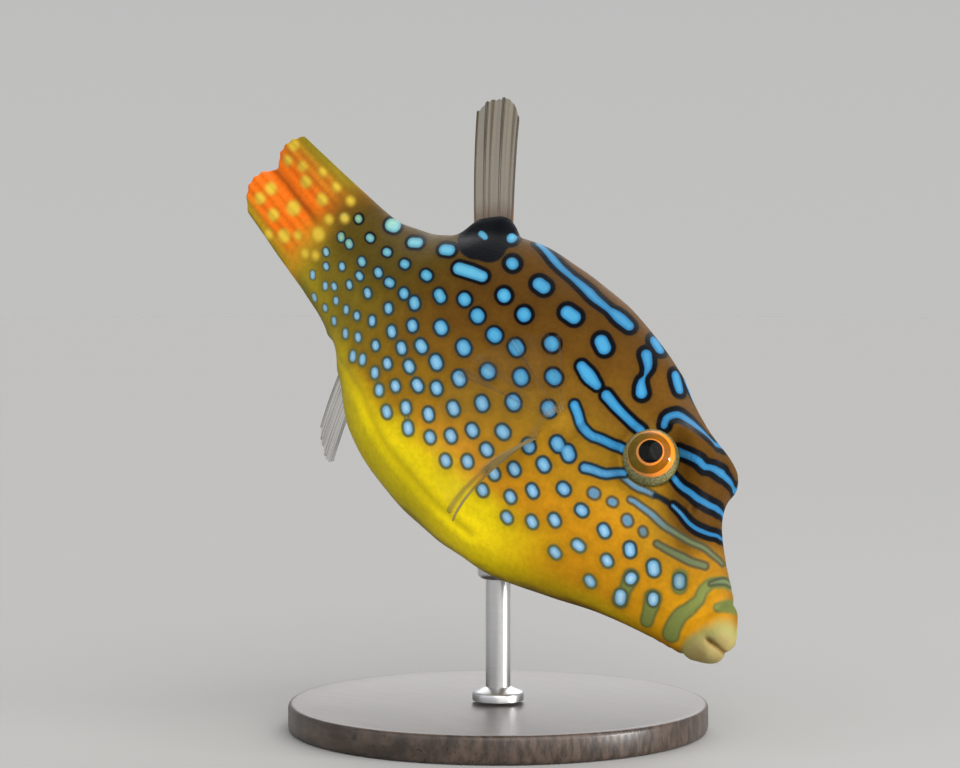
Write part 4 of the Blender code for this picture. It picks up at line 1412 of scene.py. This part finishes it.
def pectoral_fin(name, side, sizes):
    """Clear fan behind the gill slit, its lowest rays folded together into a strip with trailing tips."""
    rows = 56
    columns = 10 * (PECTORAL_RAYS - 1) + 1
    across = np.linspace(0.0, 1.0, columns)
    out = np.linspace(0.0, 1.0, rows)[:, None]
    bundle = ease((across - 0.66) / 0.30)
    angle = np.radians(42.0 - 134.0 * (across * (1 - 0.22 * bundle) + 0.22 * bundle))
    off = np.radians(13.0 + 9.0 * across)
    height = PECTORAL_HEIGHT + 4.2 * (0.5 - across)
    start = np.zeros((columns, 3))
    for j in range(columns):
        width = flank(PECTORAL_STATION, height[j], sizes.brow_swell / MM)
        start[j] = (PECTORAL_STATION, side * (width + ROOT_SUNK), height[j])
    fullness = np.sin(0.5 * math.pi * np.minimum(1.0, 1.5 * across))
    ridge = ray_ridges(PECTORAL_RAYS, columns, rows)
    tips = 0.05 * bump(across - 0.93, 0.02) + 0.06 * bump(across - 1.0, 0.02)
    reach = (7.4 + 4.2 * fullness) * (1 + tips) * (1 + 0.014 * ridge[-1])
    curl = 0.22 * out * out * ease((across - 0.3) / 0.7)
    bend = angle - curl
    middle = np.zeros((rows, columns, 3))
    middle[..., 0] = start[:, 0] + out * reach * np.cos(bend) * np.cos(off)
    middle[..., 1] = start[:, 1] + side * out * reach * np.sin(off) * (1 + 0.05 * np.sin(across * 40.0))
    middle[..., 2] = start[:, 2] + out * reach * np.sin(bend) * np.cos(off)
    thickness = fin_thickness(ridge, 1 - 0.5 * out, sizes)
    folded = ease((across - 0.87) / 0.04)[None, :]
    ridge = ridge * (1 - 0.8 * ease((across - 0.45) / 0.2)[None, :] * (1 - folded))
    strip = folded * (1 - 0.9 * ease((out - 0.45) / 0.2))
    strip = np.maximum(strip, folded * ridge)
    return link_mesh(name, blade_mesh(name, middle, thickness, ridge, strip), FIN_SMOOTHING)


# Operators: one for each piece or group of like pieces


def deselect():
    bpy.ops.object.select_all(action="DESELECT")


class PUFFER_OT_skin(bpy.types.Operator):
    """Build the one skin that covers the lips, snout, head, trunk, stalk and tail fin"""

    bl_idname = "puffer.skin"
    bl_label = "Skin"

    def execute(self, context):
        sizes = context.scene.puffer_sizes
        net, rows, girth = straight_skin(sizes)
        net = net + net_normals(net) * relief(net, sizes)[..., None]
        shares = share_of_girth()
        fields = mark_fields(net, rows, girth, sizes.seed)
        crease = 0.14 * bump(fields["fold"], 0.42) - 0.12 * bump(fields["fold"] - 0.9, 0.6)
        net = net - net_normals(net) * crease[..., None]
        gap = mouth_line(net[..., 0], net[..., 2])
        mesh, used, corners = net_mesh("skin", net)
        if len(mesh.vertices) == 0:
            raise RuntimeError("the skin has no points")
        lay_out_skin(mesh, corners, rows, girth)
        grids = {
            **fields,
            "ring": ring_width(rows, shares),
            # The line of the slit between the lips, later painted dark as shade in the crease
            "mouth": bump(gap, 0.24) * (1 - ease((rows[:, None] - 0.9) / 0.8)),
            "station": np.repeat(rows[:, None], RING, axis=1),
            "girth": np.repeat(shares[None, :], len(rows), axis=0),
        }
        for name, values in grids.items():
            add_values(mesh, name, values.ravel()[used])
        skin = link_mesh("skin", mesh, SKIN_SMOOTHING)
        mesh.materials.append(skin_material(context.scene.puffer_colours))
        nodes = ("lip_upper", "lip_lower", "snout", "head", "trunk", "tail_stalk", "caudal_fin")
        finish_piece(skin, nodes)
        return {"FINISHED"}


class PUFFER_OT_eyes(bpy.types.Operator):
    """Build both eyeballs, sunk in their sockets"""

    bl_idname = "puffer.eyes"
    bl_label = "Eyes"

    def execute(self, context):
        sizes = context.scene.puffer_sizes
        for name, side in (("right", -1), ("left", 1)):
            centre, axis = eye_frame(side, sizes.brow_swell / MM)
            middle = Vector(place(centre))
            ahead = Vector(place(centre + axis)) - middle
            turn = ahead.to_track_quat("Z", "Y").to_euler()
            deselect()
            bpy.ops.mesh.primitive_uv_sphere_add(
                segments=EYE_SIDES, ring_count=EYE_ROWS, radius=sizes.eye_radius
            )
            eye = context.object
            eye.name = "eyeball_" + name
            foot = sizes.cornea_from * sizes.eye_radius
            choose(eye, lambda point: point.z > foot)
            bpy.ops.transform.resize(value=(1.0, 1.0, sizes.cornea_bulge), center_override=(0.0, 0.0, foot))
            bpy.ops.object.mode_set(mode="OBJECT")
            eye.rotation_euler = turn
            eye.location = middle
            bpy.ops.object.transform_apply(location=True, rotation=True, scale=True)
            bpy.ops.object.shade_smooth()
            eye.data.materials.append(eye_material(context.scene.puffer_colours, middle, turn, -side))
            finish_piece(eye, ("eye_" + name,))
        return {"FINISHED"}


class PUFFER_OT_clear_fins(bpy.types.Operator):
    """Build the dorsal, anal and pectoral fins"""

    bl_idname = "puffer.clear_fins"
    bl_label = "Clear fins"

    def execute(self, context):
        sizes = context.scene.puffer_sizes
        colours = context.scene.puffer_colours
        webs = {name: fin_material(name + " fin", colours, **look) for name, look in FIN_LOOKS.items()}
        for name, shape in MIDLINE_FINS.items():
            fin = midline_fin(name + "_fin_web", sizes, **shape)
            fin.data.materials.append(webs[name])
            finish_piece(fin, (name + "_fin",))
        for name, side in (("right", -1), ("left", 1)):
            fin = pectoral_fin("pectoral_web_" + name, side, sizes)
            fin.data.materials.append(webs["pectoral"])
            finish_piece(fin, ("pectoral_fin_" + name,))
        return {"FINISHED"}


class PUFFER_OT_stand(bpy.types.Operator):
    """Build the round base, the rod and the collar under the belly"""

    bl_idname = "puffer.stand"
    bl_label = "Stand"

    def turned(self, context, name, radius, low, high, sides):
        """Add an upright cylinder between two heights on the middle of the stand."""
        deselect()
        bpy.ops.mesh.primitive_cylinder_add(
            vertices=sides, radius=radius, depth=high - low, location=(0.0, 0.0, 0.5 * (low + high))
        )
        piece = context.object
        piece.name = name
        bpy.ops.object.transform_apply(location=True, rotation=True, scale=True)
        return piece

    def round_rims(self, piece, heights, width, segments):
        """Bevel the rims that lie at the given heights."""
        bpy.ops.object.mode_set(mode="EDIT")
        bpy.ops.mesh.select_all(action="DESELECT")
        bpy.ops.object.mode_set(mode="OBJECT")
        for edge in piece.data.edges:
            ends = [piece.data.vertices[v].co.z for v in edge.vertices]
            edge.select = any(all(abs(z - height) < 1e-6 for z in ends) for height in heights)
        bpy.ops.object.mode_set(mode="EDIT")
        bpy.ops.mesh.select_mode(type="EDGE")
        bpy.ops.mesh.bevel(offset=width, segments=segments, profile=0.5)
        bpy.ops.object.mode_set(mode="OBJECT")

    def base(self, context, stand):
        """Round base with a raised rim round its dished top."""
        low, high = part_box("stand_base")
        base = self.turned(context, "stand_base_wood", 0.5 * (high.x - low.x), low.z, high.z, BASE_SIDES)
        choose(base, lambda point: point.z > high.z - 1e-5)
        bpy.ops.mesh.inset(thickness=stand.rim_width)
        bpy.ops.transform.translate(value=(0.0, 0.0, -stand.dish))
        bpy.ops.object.mode_set(mode="OBJECT")
        self.round_rims(base, (low.z, high.z), stand.edge, 4)
        return base

    def rod(self, context, stand):
        """Rod from the base into the collar, with a round foot that narrows to it."""
        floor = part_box("stand_base")[1].z
        low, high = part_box("stand_rod")
        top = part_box("stand_collar")[0].z + ROD_SUNK
        foot_top = floor + stand.foot_height
        rod = self.turned(context, "stand_rod_steel", stand.rod_radius, floor, top, ROD_SIDES)
        for height in (foot_top, foot_top + stand.foot_slope):
            choose(rod, lambda point: True)
            bpy.ops.mesh.bisect(plane_co=(0.0, 0.0, height), plane_no=(0.0, 0.0, 1.0))
            bpy.ops.object.mode_set(mode="OBJECT")
        choose(rod, lambda point: point.z < foot_top + 1e-5)
        widening = 0.5 * (high.x - low.x) / stand.rod_radius
        bpy.ops.transform.resize(value=(widening, widening, 1.0), center_override=(0.0, 0.0, floor))
        bpy.ops.object.mode_set(mode="OBJECT")
        self.round_rims(rod, (foot_top,), FOOT_ROUNDING, 3)
        return rod

    def collar(self, context):
        """Short collar under the belly."""
        low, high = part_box("stand_collar")
        radius = 0.5 * (high.x - low.x)
        top = low.z + COLLAR_HEIGHT
        collar = self.turned(context, "stand_collar_steel", radius, low.z, top, ROD_SIDES)
        self.round_rims(collar, (low.z,), COLLAR_ROUNDING, 4)
        return collar

    def execute(self, context):
        stand = context.scene.puffer_stand
        wood = wood_material(stand)
        steel = steel_material(stand)
        for piece, material, node, slot in (
            (self.base(context, stand), wood, "stand_base", "base"),
            (self.rod(context, stand), steel, "stand_rod", "rod"),
            (self.collar(context), steel, "stand_collar", "rod"),
        ):
            deselect()
            piece.select_set(True)
            context.view_layer.objects.active = piece
            bpy.ops.object.shade_smooth_by_angle(angle=STAND_SMOOTHING)
            piece.data.materials.append(material)
            finish_piece(piece, (node,))
        return {"FINISHED"}


class PUFFER_OT_stage(bpy.types.Operator):
    """Set the pale floor, the soft lights and the camera"""

    bl_idname = "puffer.stage"
    bl_label = "Studio"

    def floor(self, context, studio):
        deselect()
        bpy.ops.mesh.primitive_plane_add(size=FLOOR_SIZE, location=(0.0, 0.0, 0.0))
        floor = context.object
        floor.name = "floor"
        floor.data.materials.append(floor_material(studio))

    def camera(self, scene, right, level):
        """Set the camera so that the snout's tip falls on its pixel at its depth."""
        away = level * math.cos(CAMERA_ELEVATION) - Vector((0.0, 0.0, math.sin(CAMERA_ELEVATION)))
        up = right.cross(away)
        scale = TIP_DEPTH / FOCAL_PIXELS
        aside = (TIP_PIXEL[0] - FRAME_WIDTH / 2) * scale
        above = (FRAME_HEIGHT / 2 - TIP_PIXEL[1]) * scale
        eye_point = (Vector(SNOUT_TIP) - right * aside - away * TIP_DEPTH - up * above) * MM
        camera = bpy.data.cameras.new("camera")
        camera.sensor_width = SENSOR_WIDTH
        camera.lens = FOCAL_PIXELS * SENSOR_WIDTH / FRAME_WIDTH
        camera.clip_start = CLIP_START
        camera.clip_end = CLIP_END
        holder = bpy.data.objects.new("camera", camera)
        scene.collection.objects.link(holder)
        turn = Matrix((right, up, -away)).transposed().to_4x4()
        holder.matrix_world = Matrix.Translation(eye_point) @ turn
        scene.camera = holder

    def lights(self, context, studio, right, level):
        """Add the lights, each aimed at the middle of the fish."""
        aim = Vector((0.0, 0.0, AIM_HEIGHT))
        for name, (kind, tint, spread, (towards, aside, above)) in LIGHTS.items():
            source = aim - level * towards + right * aside + Vector((0.0, 0.0, above))
            deselect()
            bpy.ops.object.light_add(type=kind, location=source)
            lamp = context.object
            lamp.name = name
            lamp.data.energy = getattr(studio, name)
            lamp.data.color = tint
            lamp.rotation_euler = (aim - source).to_track_quat("-Z", "Y").to_euler()
            if kind == "SUN":
                lamp.data.angle = spread
            else:
                lamp.data.shape = "DISK"
                lamp.data.size = spread

    def world(self, scene, studio):
        """Light the scene evenly from all round, paler at the horizon."""
        world = bpy.data.worlds.new("studio")
        world.use_nodes = True
        nodes = world.node_tree.nodes
        links = world.node_tree.links
        direction = nodes.new("ShaderNodeTexCoord")
        parts = nodes.new("ShaderNodeSeparateXYZ")
        rise = nodes.new("ShaderNodeValToRGB")
        links.new(direction.outputs["Generated"], parts.inputs[0])
        links.new(parts.outputs["Z"], rise.inputs["Fac"])
        rise.color_ramp.interpolation = "EASE"
        horizon, zenith = rise.color_ramp.elements
        horizon.position = 0.0
        horizon.color = (*studio.horizon, 1.0)
        zenith.position = ZENITH_FROM
        zenith.color = (*ZENITH, 1.0)
        sky = nodes["Background"]
        links.new(rise.outputs["Color"], sky.inputs["Color"])
        sky.inputs["Strength"].default_value = studio.sky
        scene.world = world
        scene.view_settings.view_transform = "Standard"

    def execute(self, context):
        studio = context.scene.puffer_studio
        right = Vector((math.cos(CAMERA_AZIMUTH), math.sin(CAMERA_AZIMUTH), 0.0))
        level = Vector((-math.sin(CAMERA_AZIMUTH), math.cos(CAMERA_AZIMUTH), 0.0))
        self.floor(context, studio)
        self.camera(context.scene, right, level)
        self.lights(context, studio, right, level)
        self.world(context.scene, studio)
        return {"FINISHED"}


class PUFFER_PT_panel(bpy.types.Panel):
    """The model's steps and settings, in the 3D view's sidebar"""

    bl_idname = "PUFFER_PT_panel"
    bl_label = "Sharpnose Puffer"
    bl_space_type = "VIEW_3D"
    bl_region_type = "UI"
    bl_category = "Puffer"

    def draw(self, context):
        for operator in OPERATORS:
            self.layout.operator(operator.bl_idname)
        for pointer, kind in GROUPS.items():
            for name in kind.__annotations__:
                self.layout.prop(getattr(context.scene, pointer), name)


GROUPS = {
    "puffer_sizes": PufferSizes,
    "puffer_colours": PufferColours,
    "puffer_stand": PufferStand,
    "puffer_studio": PufferStudio,
}
OPERATORS = (PUFFER_OT_skin, PUFFER_OT_eyes, PUFFER_OT_clear_fins, PUFFER_OT_stand, PUFFER_OT_stage)
CLASSES = (*GROUPS.values(), *OPERATORS, PUFFER_PT_panel)


def register():
    for item in CLASSES:
        bpy.utils.register_class(item)
    for name, group in GROUPS.items():
        setattr(bpy.types.Scene, name, PointerProperty(type=group))


def unregister():
    for name in GROUPS:
        delattr(bpy.types.Scene, name)
    for item in reversed(CLASSES):
        bpy.utils.unregister_class(item)


def main():
    register()
    bpy.ops.puffer.skin()
    bpy.ops.puffer.eyes()
    bpy.ops.puffer.clear_fins()
    bpy.ops.puffer.stand()
    bpy.ops.puffer.stage()


if __name__ == "__main__":
    main()
